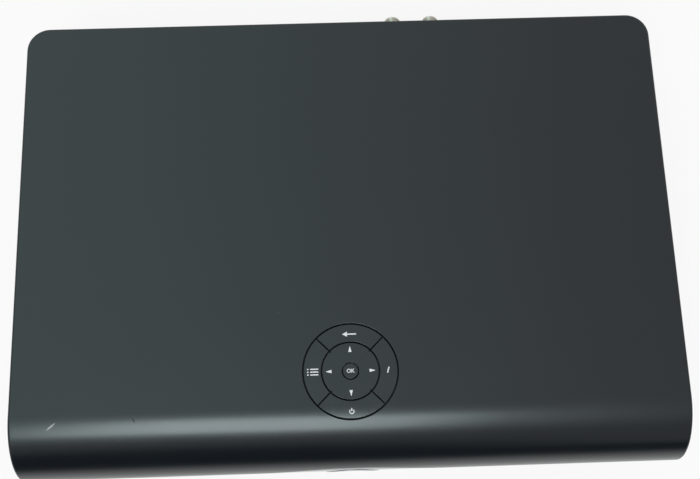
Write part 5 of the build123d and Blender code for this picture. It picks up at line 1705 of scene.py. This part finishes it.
@dataclass
class Studio:
    """White table, soft lamps, a pale ceiling and the camera."""

    camera_at: Point = (-7.876, -151.415, 611.441)
    camera_turn: Point = (0.2591, -0.0099, -0.0330)
    lens: float = 51.43
    floor_size: float = 6.0
    glow: float = 0.86
    ceiling: tuple[Point, Point] = ((1.12, 1.43, 1.38), (0.67, 0.68, 0.69))
    ambient: float = 0.62
    doorway: Point = (-0.17, -0.985, 0.0)
    dark: float = 0.012
    wall: float = 0.42
    back_wall: float = 0.85
    table_edge: Span = (-300.0, -165.0)
    lamps: tuple[Softbox, ...] = (
        Softbox("softbox", (-225.0, -870.0, 1300.0), (0.75, 0.75), 8.5),
        Softbox("sheen_wide", (-170.0, -750.0, 1370.0), (0.72, 0.66), 10.0, True),
        Softbox("sheen_core", (-170.0, -750.0, 1370.0), (0.50, 0.42), 6.2, True),
    )
    sheen_tint: Point = (0.86, 1.0, 1.02)

    def seen(self, nodes: Nodes, rays: Any) -> Socket:
        """1 for what the eye sees itself or through something clear."""
        return nodes.maths("MAXIMUM", rays["Is Camera Ray"], rays["Is Transmission Ray"])

    def floor(self) -> None:
        """Plain pale floor that stays white to the eye and keeps the object's shadow."""
        floor = made("floor", bpy.ops.mesh.primitive_plane_add, size=self.floor_size)
        paper = bpy.data.materials.new("white_table")
        nodes = Nodes(paper)
        rays = nodes.add("LightPath")
        where = nodes.add("SeparateXYZ", {"Vector": nodes.add("TexCoord")["Object"]})
        table = nodes.spread(where["Y"], 0.0, 1.0, *mm(*self.table_edge), "SMOOTHSTEP")
        matt = nodes.add("BsdfDiffuse", {"Color": linear("#eef0ef")})[0]
        share = nodes.maths("MULTIPLY", self.seen(nodes, rays), self.glow)
        eye = nodes.blend(share, matt, nodes.light("Emission", linear("#ffffff")))
        mirrored = nodes.light("Emission", linear("#f4f6f5"), table)
        nodes.add("OutputMaterial", {"Surface": nodes.blend(rays["Is Glossy Ray"], eye, mirrored)})
        floor.data.materials.append(paper)

    def world(self) -> None:
        """Room whose ceiling is mirrored in the roof; what the eye sees behind the object is white."""
        world = bpy.data.worlds.new("room")
        bpy.context.scene.world = world
        nodes = Nodes(world)
        way = nodes.add("TexCoord")["Generated"]
        axes = nodes.add("SeparateXYZ", {"Vector": way})
        left, right = ((*colour, 1.0) for colour in self.ceiling)
        roof = nodes.mix(nodes.spread(axes["X"], 0.0, 1.0, -0.3, 0.3), left, right)
        ahead = nodes.vectors("DISTANCE", way, self.doorway)["Value"]
        walls = nodes.spread(ahead, self.dark, self.wall, 0.29, 0.48)
        around = nodes.spread(axes["Y"], walls, self.back_wall, 0.1, 0.5)
        up = nodes.spread(axes["Z"], 0.0, 1.0, 0.55, 0.85, "SMOOTHSTEP")
        glossy = nodes.light("Background", nodes.mix(up, around, roof))
        soft = nodes.light("Background", (1, 1, 1, 1), self.ambient)
        white = nodes.light("Background", (1, 1, 1, 1))
        rays = nodes.add("LightPath")
        lit = nodes.blend(rays["Is Glossy Ray"], soft, glossy)
        nodes.add("OutputWorld", {"Surface": nodes.blend(self.seen(nodes, rays), lit, white)})

    def place(self, data: Any, where: Point) -> Item:
        """Put a lamp or camera into the scene.

        Args:
            data: The lamp or camera.
            where: Its place in millimetres.

        Returns:
            Its object, which has the same name.
        """
        item = bpy.data.objects.new(data.name, data)
        bpy.context.scene.collection.objects.link(item)
        item.location = mm(*where)
        return item

    def lamp(self, box: Softbox) -> None:
        """Hang one lamp, facing the object.

        Args:
            box: The lamp.
        """
        light = bpy.data.lights.new(box.name, "AREA")
        light.shape = "RECTANGLE"
        light.size, light.size_y = box.size
        light.energy = box.power
        item = self.place(light, box.place)
        facing = Vector((0, 0, 0.05)) - item.location
        item.rotation_euler = facing.to_track_quat("-Z", "Y").to_euler()
        item.visible_glossy = box.mirrored
        item.visible_diffuse = not box.mirrored
        if box.mirrored:
            light.color = self.sheen_tint

    def camera(self) -> None:
        """Camera above the front edge, looking down."""
        data = bpy.data.cameras.new("camera")
        data.lens = self.lens
        data.sensor_width = 36.0
        item = self.place(data, self.camera_at)
        item.rotation_euler = Euler(self.camera_turn)
        bpy.context.scene.camera = item

    def build(self) -> None:
        """Set the scene up."""
        self.floor()
        self.world()
        for box in self.lamps:
            self.lamp(box)
        self.camera()
        bpy.context.scene.view_settings.view_transform = "Standard"


def main() -> None:
    """Load the frame, build every sub-assembly around it and log each piece's faces, body and node."""
    logging.basicConfig(level=logging.INFO, format="%(name)s %(message)s")
    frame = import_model()
    record = frame["record"]
    Studio().build()
    slots = {part["node"]: part["material_slot"] for part in record["subparts"]}
    rig = Rig(record["behaviour"]["bodies"], slots)
    for node, item in frame["nodes"].items():
        rig.cover(item, node)
    form = CaseForm()
    for assembly in (EasedNodes(), Lid(form), KeyCluster(form), Fascia(form), RearSockets()):
        for node, item in assembly.dress(rig).items():
            faces = len(item.data.polygons)
            LOG.info("%s: %d faces, rides on %s, stands for %s", item.name, faces, rig.body_of(node), node)


if __name__ == "__main__":
    main()
